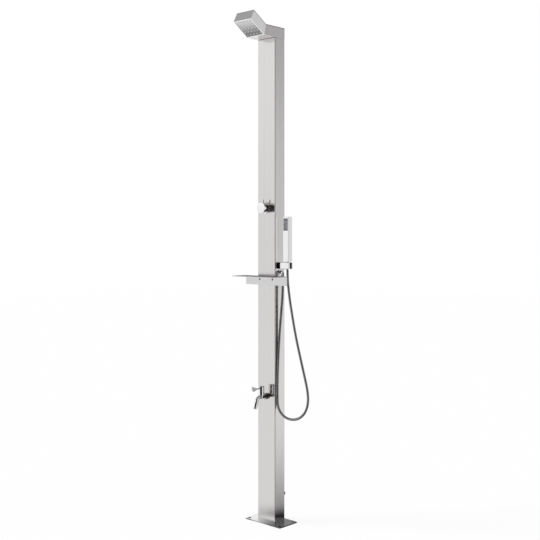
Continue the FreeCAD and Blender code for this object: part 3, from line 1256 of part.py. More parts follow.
PIECES = {
    "base_plate": make_base_plate,
    "post_tube": make_post_tube,
    "head_neck": make_head_neck,
    "head_box": make_head_box,
    "head_spigot": make_head_spigot,
    "head_gasket": make_head_gasket,
    "head_screws": make_head_screws,
    "spray_plate": make_spray_plate,
    "spray_mat": make_spray_mat,
    "spray_chamber": make_spray_chamber,
    "chamber_nuts": make_chamber_nuts,
    "head_riser": make_head_riser,
    "head_union_nut": make_head_union_nut,
    "valve_body": make_valve_body,
    "valve_cartridge": make_valve_cartridge,
    "valve_ring": make_valve_ring,
    "valve_spindle": make_valve_spindle,
    "knob": make_knob,
    "knob_pin": make_knob_pin,
    "knob_grub_screw": make_knob_grub,
    "lower_riser": make_lower_riser,
    "upper_riser": make_upper_riser,
    "hand_feed_pipe": make_hand_feed_pipe,
    "shelf": make_shelf,
    "shelf_screws": make_shelf_screws,
    "shelf_rivet_nuts": make_shelf_rivet_nuts,
    "holder_spacer": make_holder_spacer,
    "holder_block": make_holder_block,
    "holder_screws": make_holder_screws,
    "handset_body": make_handset_body,
    "handset_panel": make_handset_panel,
    "handset_nozzles": make_handset_nozzles,
    "handset_waterway": make_handset_waterway,
    "handset_nipple": make_handset_nipple,
    "hose_washer": make_hose_washer,
    "hose_cone_nut": make_hose_cone_nut,
    "hose_ferrule": make_hose_ferrule,
    "outlet_fitting": make_outlet_fitting,
    "outlet_lock_nut": make_outlet_lock_nut,
    "hose_elbow": make_hose_elbow,
    "hose_nut": make_hose_nut,
    "shower_hose": make_shower_hose,
    "tap_body": make_tap_body,
    "tap_wall_flange": make_tap_wall_flange,
    "tap_lock_nut": make_tap_lock_nut,
    "tap_tee": make_tap_tee,
    "tap_cartridge": make_tap_cartridge,
    "tap_spindle": make_tap_spindle,
    "tap_cap": make_tap_cap,
    "tap_lever": make_tap_lever,
    "spout_sleeve": make_spout_sleeve,
    "inlet_nipple": make_inlet_nipple,
    "inlet_seal": make_inlet_seal,
    "inlet_lock_nut": make_inlet_lock_nut,
    "inlet_elbow": make_inlet_elbow,
    "hose_coupler": make_hose_coupler,
}


def main():
    os.makedirs("parts", exist_ok=True)
    for name, make in PIECES.items():
        shape = make()
        if not shape.isValid():
            print("not valid:", name)
        shape.exportStep("parts/%s.step" % name)
        box = shape.BoundBox
        print("%-18s solids %2d  volume %10.1f  X %7.1f %7.1f  Y %7.1f %7.1f  Z %7.1f %7.1f" % (
            name, len(shape.Solids), shape.Volume, box.XMin, box.XMax, box.YMin, box.YMax, box.ZMin, box.ZMax))


main()
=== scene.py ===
import json
import math

import bmesh
import bpy
import numpy as np
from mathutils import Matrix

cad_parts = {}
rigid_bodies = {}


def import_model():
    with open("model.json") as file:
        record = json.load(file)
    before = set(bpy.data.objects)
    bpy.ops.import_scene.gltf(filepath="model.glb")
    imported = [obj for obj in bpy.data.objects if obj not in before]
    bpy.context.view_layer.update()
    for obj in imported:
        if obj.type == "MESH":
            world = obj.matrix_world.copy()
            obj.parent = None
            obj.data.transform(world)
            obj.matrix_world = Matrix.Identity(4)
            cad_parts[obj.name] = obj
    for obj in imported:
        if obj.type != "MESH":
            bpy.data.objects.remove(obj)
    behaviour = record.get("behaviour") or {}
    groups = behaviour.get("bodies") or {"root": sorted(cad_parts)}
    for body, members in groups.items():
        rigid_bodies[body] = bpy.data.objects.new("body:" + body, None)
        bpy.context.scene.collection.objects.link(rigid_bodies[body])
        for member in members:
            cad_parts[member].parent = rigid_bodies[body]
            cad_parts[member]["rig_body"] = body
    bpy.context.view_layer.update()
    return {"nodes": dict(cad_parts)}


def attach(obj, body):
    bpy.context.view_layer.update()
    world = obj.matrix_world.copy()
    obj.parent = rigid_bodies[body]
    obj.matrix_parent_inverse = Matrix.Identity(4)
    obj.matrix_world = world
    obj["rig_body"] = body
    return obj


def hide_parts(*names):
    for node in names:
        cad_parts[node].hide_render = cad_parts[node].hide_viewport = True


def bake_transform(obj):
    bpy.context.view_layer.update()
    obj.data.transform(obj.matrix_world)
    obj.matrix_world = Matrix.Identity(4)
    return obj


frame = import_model()
nodes = frame["nodes"]
scene = bpy.context.scene
scene.view_settings.view_transform = "Standard"
print("shower post: frame loaded,", len(nodes), "nodes")

mm = 0.001

# camera: level, looking at the post's front right corner from 3.95 m; right and away are as it sees them
shot = {"place": (2.6869, -2.8919, 1.2271), "heading": 0.75, "lens": 61.79, "sensor": 36, "drop": -0.0693}
right = (math.cos(shot["heading"]), math.sin(shot["heading"]), 0.0)
away = (-math.sin(shot["heading"]), math.cos(shot["heading"]), 0.0)


def placeCamera():
    data = bpy.data.cameras.new("photoCamera")
    data.lens = shot["lens"]
    data.sensor_width = shot["sensor"]
    data.shift_y = shot["drop"]
    camera = bpy.data.objects.new("photoCamera", data)
    camera.location = shot["place"]
    camera.rotation_euler = (math.pi / 2, 0, shot["heading"])
    scene.collection.objects.link(camera)
    scene.camera = camera


placeCamera()


# shader maths as Python expressions: a Wire is the output socket of a node
class Wire:
    def __init__(self, tree, socket):
        self.tree = tree
        self.socket = socket

    def maths(self, operation, first, second):
        return addNode(self.tree, "ShaderNodeMath", {"operation": operation}, {0: first, 1: second})

    def __add__(self, other):
        return self.maths("ADD", self, other)

    def __radd__(self, other):
        return self.maths("ADD", other, self)

    def __sub__(self, other):
        return self.maths("SUBTRACT", self, other)

    def __rsub__(self, other):
        return self.maths("SUBTRACT", other, self)

    def __mul__(self, other):
        return self.maths("MULTIPLY", self, other)

    def __rmul__(self, other):
        return self.maths("MULTIPLY", other, self)

    def __pow__(self, other):
        return self.maths("POWER", self, other)

    def size(self):
        return self.maths("ABSOLUTE", self, 0.0)

    def most(self, other):
        return self.maths("MAXIMUM", self, other)

    def below(self, limit):
        return self.maths("LESS_THAN", self, limit)


# a node of any type: its settings first, then the values or links of its inputs
def addNode(tree, kind, settings=None, sockets=None, out=0):
    node = tree.nodes.new(kind)
    for name, value in (settings or {}).items():
        setattr(node, name, value)
    for name, value in (sockets or {}).items():
        if isinstance(value, Wire):
            tree.links.new(value.socket, node.inputs[name])
        else:
            node.inputs[name].default_value = value
    return Wire(tree, node.outputs[out]) if node.outputs else node


def mixColour(tree, factor, first, second):
    return addNode(tree, "ShaderNodeMix", {"data_type": "RGBA"}, {0: factor, 6: first, 7: second}, out=2)


def vectorMaths(tree, operation, first, second=(0, 0, 0), out=0):
    return addNode(tree, "ShaderNodeVectorMath", {"operation": operation}, {0: first, 1: second}, out=out)


# how far a vector reaches along a direction
def along(tree, vector, direction):
    return vectorMaths(tree, "DOT_PRODUCT", vector, direction, out=1)


def axesOf(tree, vector):
    node = addNode(tree, "ShaderNodeSeparateXYZ", {}, {0: vector}).socket.node
    return [Wire(tree, axis) for axis in node.outputs]


# 1 for rays of a kind and 0 for the others
def rayKinds(tree, *kinds):
    node = addNode(tree, "ShaderNodeLightPath").socket.node
    return [Wire(tree, node.outputs[kind]) for kind in kinds]


def evenColour(tree, level):
    return addNode(tree, "ShaderNodeCombineColor", {}, {0: level, 1: level, 2: level})


def grey(level, tint=(1.0, 1.0, 1.0)):
    return (min(level * tint[0], 1.0), min(level * tint[1], 1.0), min(level * tint[2], 1.0), 1.0)


# smooth step of a wire between two of its values
def smoothBand(wire, low, high, first=0.0, last=1.0):
    return addNode(
        wire.tree, "ShaderNodeMapRange", {"interpolation_type": "SMOOTHSTEP"},
        {"Value": wire, "From Min": low, "From Max": high, "To Min": first, "To Max": last})


# the studio that steel reflects: a white wall behind the post, light grey on the left, greyer on the right, a
# dim ceiling and a dark gap where the camera stands; pairs are the two ends of a smooth step
studio = {
    "sides": (-0.5, 0.5),
    "leftRise": (0.0, 0.17), "leftLevels": (0.90, 1.0), "leftFade": (0.25, 0.75), "leftTop": 0.36,
    "zenithFade": (0.75, 1.0), "zenith": 0.6,
    "rightRise": (0.03, 0.3), "rightLevels": (0.73, 0.45), "rightFade": (0.3, 0.9), "rightTop": 0.55,
    "wall": (0.25, 0.7), "wallLevel": 1.0, "wallFade": (0.4, 0.75), "wallTop": 0.12,
    "gap": (0.765, 0.83), "gapLevel": 0.01, "gapLift": 0.15,
    "softLevel": 0.5,
}


def buildStudio():
    world = bpy.data.worlds.new("studio")
    world.use_nodes = True
    scene.world = world
    tree = world.node_tree
    tree.nodes.clear()
    heading = addNode(tree, "ShaderNodeTexCoord")
    sideways = along(tree, heading, right)
    backward = along(tree, heading, away)
    upward = axesOf(tree, heading)[2]
    left = smoothBand(upward, *studio["leftRise"], *studio["leftLevels"])
    left = left * smoothBand(upward, *studio["leftFade"], 1.0, studio["leftTop"])
    left = left * smoothBand(upward, *studio["zenithFade"], 1.0, studio["zenith"])
    greyer = smoothBand(upward, *studio["rightRise"], *studio["rightLevels"])
    greyer = greyer * smoothBand(upward, *studio["rightFade"], 1.0, studio["rightTop"])
    side = smoothBand(sideways, *studio["sides"])
    level = left * (1.0 - side) + greyer * side
    behind = smoothBand(backward, *studio["wall"])
    wall = studio["wallLevel"] * smoothBand(upward, *studio["wallFade"], 1.0, studio["wallTop"])
    level = level * (1.0 - behind) + wall * behind
    gap = smoothBand(studio["gapLift"] * upward.size() - backward, *studio["gap"])
    level = level * (1.0 - gap) + studio["gapLevel"] * gap
    seen, glossy, through = rayKinds(tree, "Is Camera Ray", "Is Glossy Ray", "Is Transmission Ray")
    mirrored = glossy.most(through)
    level = level * mirrored + studio["softLevel"] * (1.0 - mirrored)
    level = level * (1.0 - seen) + seen
    glow = addNode(tree, "ShaderNodeBackground", {}, {"Color": evenColour(tree, level), "Strength": 1.0})
    addNode(tree, "ShaderNodeOutputWorld", {}, {"Surface": glow})


buildStudio()

# one broad lamp from the camera's left; mirrors don't show it
lamp = {"strength": 2.1, "height": 45.0, "heading": -0.8208, "spread": 18.0}


def hangLamp():
    data = bpy.data.lights.new("softLamp", "SUN")
    data.energy = lamp["strength"]
    data.angle = math.radians(lamp["spread"])
    light = bpy.data.objects.new("softLamp", data)
    light.rotation_euler = (math.radians(90.0 - lamp["height"]), 0, lamp["heading"])
    light.visible_glossy = False
    scene.collection.objects.link(light)


hangLamp()


# a new material, its empty tree, and the object's own coordinates
def startFinish(name):
    material = bpy.data.materials.new(name)
    material.use_nodes = True
    tree = material.node_tree
    tree.nodes.clear()
    return material, tree, addNode(tree, "ShaderNodeTexCoord", out=3)


def endFinish(tree, sockets):
    shader = addNode(tree, "ShaderNodeBsdfPrincipled", {}, sockets)
    addNode(tree, "ShaderNodeOutputMaterial", {}, {"Surface": shader})


# ground: white to the camera, with the object's faint shadow and a painted shadow under the plate; steel
# reflects the ground with a painted shadow on it, dark where the camera stands and close to the foot, mostly
# on the right; pairs are the two ends of a smooth step
ground = {
    "half": 14.0, "albedo": 0.95, "shadowShare": 0.08, "underPlate": (0.0985, 0.0535),
    "gap": (0.72, 0.82), "gapNear": (0.05, 0.2), "gapDepth": 0.97,
    "foot": (0.12, 0.32), "front": (-0.4, 1.2), "frontLeast": 0.1, "frontNear": (0.085, 0.15),
    "side": (0.2, 0.85), "sideWide": (0.25, 1.4), "sideShare": 0.26,
}


def layGround():
    half = ground["half"]
    mesh = bpy.data.meshes.new("ground")
    corners = [(-half, -half, 0), (half, -half, 0), (half, half, 0), (-half, half, 0)]
    mesh.from_pydata(corners, [], [(0, 1, 2, 3)])
    floor = bpy.data.objects.new("ground", mesh)
    scene.collection.objects.link(floor)
    material, tree, place = startFinish("ground")
    seen, glossy = rayKinds(tree, "Is Camera Ray", "Is Glossy Ray")
    reach = vectorMaths(tree, "LENGTH", place, out=1)
    heading = vectorMaths(tree, "NORMALIZE", place)
    ahead = along(tree, heading, [-part for part in away])
    # painted shadow for mirrored rays: the ground is painted dark where the camera stands, close to the foot
    # and along the right, where the post's shadow falls
    gap = smoothBand(ahead, *ground["gap"]) * smoothBand(reach, *ground["gapNear"])
    front = smoothBand(ahead, *ground["front"], ground["frontLeast"], 1.0)
    front = front * smoothBand(reach, *ground["frontNear"])
    side = smoothBand(along(tree, heading, right), *ground["side"])
    near = 1.0 - front.most(side) * (1.0 - smoothBand(reach, *ground["foot"]))
    near = near * (1.0 - side * smoothBand(reach, *ground["sideWide"], ground["sideShare"], 0.0))
    kept = 1.0 - glossy * (1.0 - near * (1.0 - ground["gapDepth"] * gap))
    matt = addNode(tree, "ShaderNodeBsdfDiffuse", {}, {"Color": evenColour(tree, ground["albedo"] * kept)})
    # painted shadow: to the camera the ground under the plate is black, which shows through the anchor holes
    across, backward = axesOf(tree, place)[:2]
    plateShadow = across.size().below(ground["underPlate"][0]) * backward.size().below(ground["underPlate"][1])
    white = addNode(tree, "ShaderNodeEmission", {}, {"Color": evenColour(tree, 1.0 - plateShadow), "Strength": 1.0})
    share = seen * (1.0 - ground["shadowShare"])
    mixed = addNode(tree, "ShaderNodeMixShader", {}, {0: share, 1: matt, 2: white})
    addNode(tree, "ShaderNodeOutputMaterial", {}, {"Surface": mixed})
    mesh.materials.append(material)


layGround()
print("shower post: camera, studio and ground ready")


def noise(tree, place, scale, detail=2.0, rough=0.55):
    return addNode(
        tree, "ShaderNodeTexNoise", {},
        {"Vector": place, "Scale": scale, "Detail": detail, "Roughness": rough})


def relief(tree, height, strength, depth):
    return addNode(tree, "ShaderNodeBump", {}, {"Height": height, "Strength": strength, "Distance": depth})


# a tone between two shades of itself
def shaded(tree, factor, tone, shades, tint=(1.0, 1.0, 1.0)):
    return mixColour(tree, factor, grey(tone * shades[0], tint), grey(tone * shades[1], tint))


# satin steel: streaks of grain stretched along one way, soft smudges over them; the optional mask (tree,
# place) from 0 to 1 marks painted shade, where the steel is painted darker and matter
satin = {
    "broad": 0.09, "smudge": 9.0, "streakShare": 0.7, "contrast": (0.3, 0.7), "shades": (0.965, 1.03),
    "paintedShadeTones": (0.93, 1.06), "streakRough": 0.07, "smudgeRough": 0.05, "relief": (0.06, 0.0002),
}


def satinSteel(name, tone, rough=0.12, grain=(1300, 1300, 7), lean=0.0, metal=1.0, paintedShade=None, paintedShadeTone=0.3,
               paintedShadeRough=0.4, tint=(1.0, 1.0, 1.0)):
    material, tree, place = startFinish(name)
    leant = addNode(
        tree, "ShaderNodeVectorRotate", {"rotation_type": "X_AXIS"}, {"Vector": place, "Angle": lean})
    drawn = vectorMaths(tree, "MULTIPLY", leant, grain)
    streaks = noise(tree, drawn, 1.0, 3.0, 0.6)
    broad = noise(tree, drawn, satin["broad"])
    smudge = noise(tree, place, satin["smudge"], 3.0)
    share = satin["streakShare"]
    shade = smoothBand(streaks * share + broad * (1.0 - share), *satin["contrast"])
    colour = shaded(tree, shade, tone, satin["shades"], tint)
    roughness = rough + (streaks - 0.5) * satin["streakRough"] + (smudge - 0.5) * satin["smudgeRough"]
    if paintedShade:
        mask = paintedShade(tree, place)
        colour = mixColour(tree, mask, colour, shaded(tree, shade, paintedShadeTone, satin["paintedShadeTones"]))
        roughness = roughness + mask * (paintedShadeRough - rough)
    bump = relief(tree, streaks, *satin["relief"])
    endFinish(tree, {"Base Color": colour, "Metallic": metal, "Roughness": roughness, "Normal": bump})
    return material


# mirror chrome: hairlines and a breath of haze; the optional mask paints shade as above
chrome = {
    "haze": 60.0, "hair": 900.0, "shades": (0.98, 1.015), "hazeRough": 0.04, "hairRough": 0.02,
    "relief": (0.02, 0.0001),
}


def polished(name, tone, rough=0.05, paintedShade=None, paintedShadeTone=0.08):
    material, tree, place = startFinish(name)
    haze = noise(tree, place, chrome["haze"], 3.0)
    hair = noise(tree, place, chrome["hair"])
    colour = shaded(tree, haze, tone, chrome["shades"])
    if paintedShade:
        colour = mixColour(tree, paintedShade(tree, place), colour, grey(paintedShadeTone))
    roughness = rough + (haze - 0.5) * chrome["hazeRough"] + (hair - 0.5) * chrome["hairRough"]
    bump = relief(tree, hair, *chrome["relief"])
    endFinish(tree, {"Base Color": colour, "Metallic": 1.0, "Roughness": roughness, "Normal": bump})
    return material


# cast or blasted metal: fine even grain, no direction
casting = {
    "speck": 1500.0, "cloud": 45.0, "shades": (0.93, 1.06), "cloudRough": 0.12, "relief": (0.12, 0.0002),
}


def matMetal(name, tone, rough=0.42, tint=(1.0, 1.0, 1.0)):
    material, tree, place = startFinish(name)
    speck = noise(tree, place, casting["speck"])
    cloud = noise(tree, place, casting["cloud"], 3.0)
    colour = shaded(tree, speck * 0.5 + cloud * 0.5, tone, casting["shades"], tint)
    roughness = rough + (cloud - 0.5) * casting["cloudRough"]
    bump = relief(tree, speck, *casting["relief"])
    endFinish(tree, {"Base Color": colour, "Metallic": 1.0, "Roughness": roughness, "Normal": bump})
    return material


# moulded plastic and rubber: a fine spark-eroded texture
mould = {"pore": 2200.0, "cloud": 70.0, "poreRough": 0.1, "poreDepth": 0.0002}


def moulded(name, low, high, rough=0.4, texture=0.1, shine=0.5):
    material, tree, place = startFinish(name)
    pore = noise(tree, place, mould["pore"])
    colour = mixColour(tree, noise(tree, place, mould["cloud"]), (*low, 1), (*high, 1))
    endFinish(tree, {
        "Base Color": colour, "Metallic": 0.0, "Roughness": rough + (pore - 0.5) * mould["poreRough"],
        "Normal": relief(tree, pore, texture, mould["poreDepth"]), "Specular IOR Level": shine})
    return material


# hose steel: the attribute crown is 1 on a turn's crest and falls to 0 in the dark seam between two turns
weave = {"seam": (0.1, 0.8), "seamTone": 0.22, "seamRough": 0.25, "haze": 200.0, "hazeRough": 0.06}


def wovenSteel(name, tone, rough=0.2):
    material, tree, place = startFinish(name)
    crown = addNode(tree, "ShaderNodeAttribute", {"attribute_name": "crown"}, {}, out=2)
    haze = noise(tree, place, weave["haze"])
    colour = shaded(tree, smoothBand(crown, *weave["seam"]), tone, (weave["seamTone"], 1.0))
    roughness = rough + (1.0 - crown) * weave["seamRough"] + (haze - 0.5) * weave["hazeRough"]
    endFinish(tree, {"Base Color": colour, "Metallic": 1.0, "Roughness": roughness})
    return material


# the tilted box of the head: where its underside starts, the way up its slope and the way out of its roof;
# dark lines of painted shade run along the roof's edges of the box and the neck, and the end face is painted
# a little darker than the sides as shade
headTilt = math.radians(33.5)
head = {
    "foot": (0.0, -0.096, 2.048), "slope": (0.0, -math.cos(headTilt), math.sin(headTilt)),
    "up": (0.0, math.sin(headTilt), math.cos(headTilt)), "height": 0.044, "neckTop": 2.094,
    "line": 0.0034, "soft": 0.001, "end": 0.0968, "endSoft": 0.0004, "endLean": 0.114, "endShare": 0.24,
    "sprayMiddle": (0.0, -0.1366, 2.0749), "sprayFade": (-0.040, 0.046),
}


def roofShadeLine(level, top):
    return smoothBand(level, top - head["line"], top - head["line"] + head["soft"])


def neckEdgeShade(tree, place):
    return roofShadeLine(axesOf(tree, place)[2], head["neckTop"])


def boxEdgeShade(tree, place):
    offset = vectorMaths(tree, "SUBTRACT", place, head["foot"])
    level = along(tree, offset, head["up"])
    reach = along(tree, offset, head["slope"]) - level * head["endLean"]
    return roofShadeLine(level, head["height"]).most(
        smoothBand(reach, head["end"], head["end"] + head["endSoft"], 0.0, head["endShare"]))


# painted shade: the spray plate is painted darker and matter towards its lower end, next to the neck
def sprayShade(tree, place):
    offset = vectorMaths(tree, "SUBTRACT", place, head["sprayMiddle"])
    return smoothBand(along(tree, offset, head["slope"]), *head["sprayFade"], 1.0, 0.0)


# painted shade: the floor plate is painted darker on the side away from the lamp, where the post's shadow
# falls, and dark inside its anchor holes; its dark rim is partly the cut edges' own duller finish and partly
# a painted reflection of the shaded floor
plate = {
    "paintedShade": (-0.07, 0.06), "most": 0.92, "hole": (0.087, 0.042), "holeRadius": 0.0076, "holeSoft": 0.0006,
    "rim": (0.0986, 0.0536), "soft": 0.001, "rearFade": (-0.02, 0.02), "frontFade": (-0.08, -0.04),
    "frontLeast": 0.5,
}


def plateShade(tree, place):
    across, backward = axesOf(tree, place)[:2]
    outX, outY, soft = across.size(), backward.size(), plate["soft"]
    toHole = ((outX - plate["hole"][0]) ** 2.0 + (outY - plate["hole"][1]) ** 2.0) ** 0.5
    hole = smoothBand(toHole, plate["holeRadius"], plate["holeRadius"] + plate["holeSoft"], 1.0, 0.0)
    rimX, rimY = plate["rim"]
    ends = smoothBand(outX, rimX, rimX + soft)
    rear = smoothBand(backward, rimY, rimY + soft) * smoothBand(across, *plate["rearFade"])
    front = smoothBand(backward, -rimY - soft, -rimY, 1.0, 0.0)
    front = front * smoothBand(across, *plate["frontFade"], 1.0, plate["frontLeast"])
    side = smoothBand(across, *plate["paintedShade"], 0.0, plate["most"])
    return side.most(hole).most(ends).most(rear).most(front)


# painted shade: the post's rear corners are painted a little darker and matter
corner = {"side": 0.0472, "back": 0.0262, "soft": 0.0012}


def rearCornerShade(tree, place):
    across, backward = axesOf(tree, place)[:2]
    out = smoothBand(across.size(), corner["side"], corner["side"] + corner["soft"])
    return out * smoothBand(backward, corner["back"], corner["back"] + corner["soft"])


# the holder's hose slot is dark inside
hoseSlot = {"from": 0.0935, "soft": 0.001, "half": 0.0065, "halfSoft": 0.0003}


def slotShade(tree, place):
    across, backward = axesOf(tree, place)[:2]
    inside = smoothBand(backward.size(), hoseSlot["half"], hoseSlot["half"] + hoseSlot["halfSoft"], 1.0, 0.0)
    return inside * smoothBand(across, hoseSlot["from"], hoseSlot["from"] + hoseSlot["soft"])


# painted shade: the mask that the shelf's mesh carries on its upper face, where the top is painted darker and
# matter
def shelfTopShade(tree, place):
    return addNode(tree, "ShaderNodeAttribute", {"attribute_name": "shelfTopShade"}, {}, out=2)


# every finish with its kind and values; warmth is the faint tint of the post and the neck
warmth = (1.018, 0.99, 0.988)
finishKinds = {
    "postSteel": (satinSteel, {
        "tone": 0.70, "rough": 0.16, "paintedShade": rearCornerShade, "paintedShadeTone": 0.36, "paintedShadeRough": 0.2, "tint": warmth}),
    "neckSteel": (satinSteel, {
        "tone": 0.70, "rough": 0.16, "grain": (1300, 7, 1300), "paintedShade": neckEdgeShade, "paintedShadeTone": 0.14,
        "paintedShadeRough": 0.3, "tint": warmth}),
    "boxSteel": (satinSteel, {
        "tone": 1.0, "rough": 0.35, "grain": (1300, 7, 1300), "lean": headTilt, "paintedShade": boxEdgeShade,
        "paintedShadeTone": 0.2, "paintedShadeRough": 0.35}),
    "sprayPlateSteel": (satinSteel, {
        "tone": 0.66, "rough": 0.26, "grain": (7, 1300, 1300), "paintedShade": sprayShade, "paintedShadeTone": 0.22,
        "paintedShadeRough": 0.34}),
    "shelfSteel": (satinSteel, {
        "tone": 0.68, "grain": (7, 1300, 1300), "paintedShade": shelfTopShade, "paintedShadeTone": 0.2, "paintedShadeRough": 0.5}),
    "plateSteel": (satinSteel, {
        "tone": 0.9, "rough": 0.3, "grain": (7, 1300, 1300), "metal": 0.6, "paintedShade": plateShade,
        "paintedShadeTone": 0.04, "paintedShadeRough": 0.3}),
    "chrome": (polished, {"tone": 0.93}),
    "holderChrome": (polished, {"tone": 0.93, "paintedShade": slotShade}),
    "darkChrome": (polished, {"tone": 0.3, "rough": 0.12}),
    "screwSteel": (polished, {"tone": 0.7, "rough": 0.12}),
    "darkScrewSteel": (matMetal, {"tone": 0.3, "rough": 0.3}),
    "hoseSteel": (wovenSteel, {"tone": 0.36}),
    "paddleMetal": (matMetal, {"tone": 0.62}),
    "castBrass": (matMetal, {"tone": 0.85, "rough": 0.3, "tint": (0.95, 0.73, 0.4)}),
    "pipeSteel": (matMetal, {"tone": 0.62, "rough": 0.25}),
    "softSilicone": (moulded, {"low": (0.92, 0.92, 0.91), "high": (0.98, 0.98, 0.97), "rough": 0.35}),
    "sealRubber": (moulded, {
        "low": (0.02, 0.02, 0.022), "high": (0.035, 0.035, 0.037), "rough": 0.6, "texture": 0.2}),
    "greyGasket": (moulded, {
        "low": (0.3, 0.3, 0.3), "high": (0.36, 0.36, 0.355), "rough": 0.6, "texture": 0.2}),
    "blackPlastic": (moulded, {"low": (0.004, 0.004, 0.0045), "high": (0.007, 0.007, 0.008), "shine": 0.1}),
    "chamberPlastic": (moulded, {"low": (0.6, 0.6, 0.58), "high": (0.68, 0.68, 0.66), "rough": 0.45}),
    "panelPlastic": (moulded, {"low": (0.085, 0.093, 0.122), "high": (0.11, 0.12, 0.152), "rough": 0.35}),
    "couplerPlastic": (moulded, {
        "low": (0.008, 0.008, 0.009), "high": (0.014, 0.014, 0.015), "rough": 0.45, "texture": 0.2,
        "shine": 0.2}),
}
finishes = {name: make(name, **values) for name, (make, values) in finishKinds.items()}

finishOf = {
    "base_plate": "plateSteel", "post_tube": "postSteel", "head_neck": "neckSteel", "head_box": "boxSteel",
    "spray_plate": "sprayPlateSteel", "spray_mat": "softSilicone", "spray_chamber": "chamberPlastic",
    "chamber_nuts": "screwSteel", "head_spigot": "pipeSteel", "head_gasket": "greyGasket",
    "head_screws": "screwSteel", "head_riser": "pipeSteel", "head_union_nut": "castBrass",
    "valve_body": "castBrass", "valve_cartridge": "chamberPlastic", "valve_ring": "chrome",
    "knob": "chrome", "knob_pin": "chrome", "knob_grub_screw": "screwSteel", "valve_spindle": "castBrass",
    "lower_riser": "pipeSteel", "upper_riser": "pipeSteel", "hand_feed_pipe": "pipeSteel",
    "shelf": "shelfSteel", "shelf_screws": "darkScrewSteel", "shelf_rivet_nuts": "screwSteel",
    "holder_spacer": "blackPlastic", "holder_block": "holderChrome", "holder_screws": "screwSteel",
    "handset_body": "chrome", "handset_panel": "panelPlastic", "handset_nozzles": "softSilicone",
    "handset_waterway": "pipeSteel", "handset_nipple": "castBrass", "hose_washer": "sealRubber",
    "hose_cone_nut": "chrome", "hose_ferrule": "chrome", "outlet_fitting": "castBrass",
    "outlet_lock_nut": "castBrass", "hose_elbow": "chrome", "hose_nut": "chrome", "shower_hose": "hoseSteel",
    "tap_body": "chrome", "tap_wall_flange": "darkChrome", "tap_lock_nut": "castBrass",
    "tap_tee": "castBrass", "tap_cartridge": "castBrass", "tap_spindle": "castBrass", "tap_cap": "chrome",
    "tap_lever": "paddleMetal", "spout_sleeve": "chrome", "inlet_nipple": "castBrass",
    "inlet_seal": "sealRubber", "inlet_lock_nut": "castBrass", "inlet_elbow": "castBrass",
    "hose_coupler": "couplerPlastic",
}


def dressFrame():
    for name, node in nodes.items():
        finish = finishes[finishOf[name]]
        if not node.material_slots:
            node.data.materials.append(finish)
        for slot in node.material_slots:
            slot.material = finish


dressFrame()
print("shower post: finishes on", len(nodes), "nodes")


weld = 2e-6  # points closer than this, in metres, become one


# one piece from several sheets of points[row, column]: columns always join up into a ring, rows end in a flat
# face ("capped"), join up too ("loop") or stay open ("open"); values are numbers kept on every point; the
# piece stands for a CAD node and rides where that rides, unless it is blended
def makePiece(name, node, sheets, finish, sharp=35.0, values=None, merge=True, blended=False):
    points, quads, caps, start = [], [], [], 0
    for grid, ends in sheets:
        rows, columns = grid.shape[:2]
        index = start + np.arange(rows * columns).reshape(rows, columns)
        ahead = np.roll(index, -1, axis=0) if ends == "loop" else index[1:]
        here = index if ends == "loop" else index[:-1]
        quad = [here, np.roll(here, -1, 1), np.roll(ahead, -1, 1), ahead]
        quads.append(np.stack(quad, axis=-1).reshape(-1, 4))
        if ends == "capped":
            caps += [index[0][::-1].tolist(), index[-1].tolist()]
        points.append(grid.reshape(-1, 3))
        start += rows * columns
    mesh = bpy.data.meshes.new(name)
    mesh.from_pydata(np.concatenate(points), [], np.concatenate(quads).tolist() + caps)
    for key, numbers in (values or {}).items():
        kept = mesh.attributes.new(key, "FLOAT", "POINT").data
        kept.foreach_set("value", np.asarray(numbers, np.float32).ravel())
    if merge:
        work = bmesh.new()
        work.from_mesh(mesh)
        bmesh.ops.remove_doubles(work, verts=work.verts, dist=weld)
        bmesh.ops.recalc_face_normals(work, faces=work.faces)
        work.to_mesh(mesh)
        work.free()
    mesh.shade_smooth()
    mesh.set_sharp_from_angle(angle=math.radians(sharp))
    mesh.materials.append(finishes[finish])
    piece = bpy.data.objects.new(name, mesh)
    scene.collection.objects.link(piece)
    if not blended:
        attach(piece, nodes[node]["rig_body"])
    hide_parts(node)
    return piece


# every corner of an outline gives way to a quadratic curve between two cuts, one on each side of it: one cut
# for all corners or one each, and at most a share of the shorter side; the ends of an open outline stay
def eased(outline, cut, closed=False, steps=5, share=0.45):
    corners = np.asarray(outline, float)
    back = np.roll(corners, 1, axis=0) - corners
    onward = np.roll(corners, -1, axis=0) - corners
    backLength = np.linalg.norm(back, axis=1)
    onwardLength = np.linalg.norm(onward, axis=1)
    reach = np.minimum(cut, share * np.minimum(backLength, onwardLength))
    if not closed:
        reach[[0, -1]] = 0.0
    first = corners + back * (reach / backLength)[:, None]
    last = corners + onward * (reach / onwardLength)[:, None]
    t = np.linspace(0, 1, steps)[None, :, None]
    curve = (1 - t) ** 2 * first[:, None] + 2 * t * (1 - t) * corners[:, None] + t ** 2 * last[:, None]
    return curve.reshape(-1, corners.shape[1])


# a vector, or each row of vectors, one long
def unit(vector):
    vector = np.asarray(vector, float)
    return vector / np.linalg.norm(vector, axis=-1, keepdims=True)


def roundAngles(sides):
    return np.arange(sides) * 2 * np.pi / sides


# a circle of points, cos(a) * first + sin(a) * second, for each pair of directions
def circles(sides, first, second):
    angle = roundAngles(sides)[:, None]
    return np.cos(angle) * first[..., None, :] + np.sin(angle) * second[..., None, :]


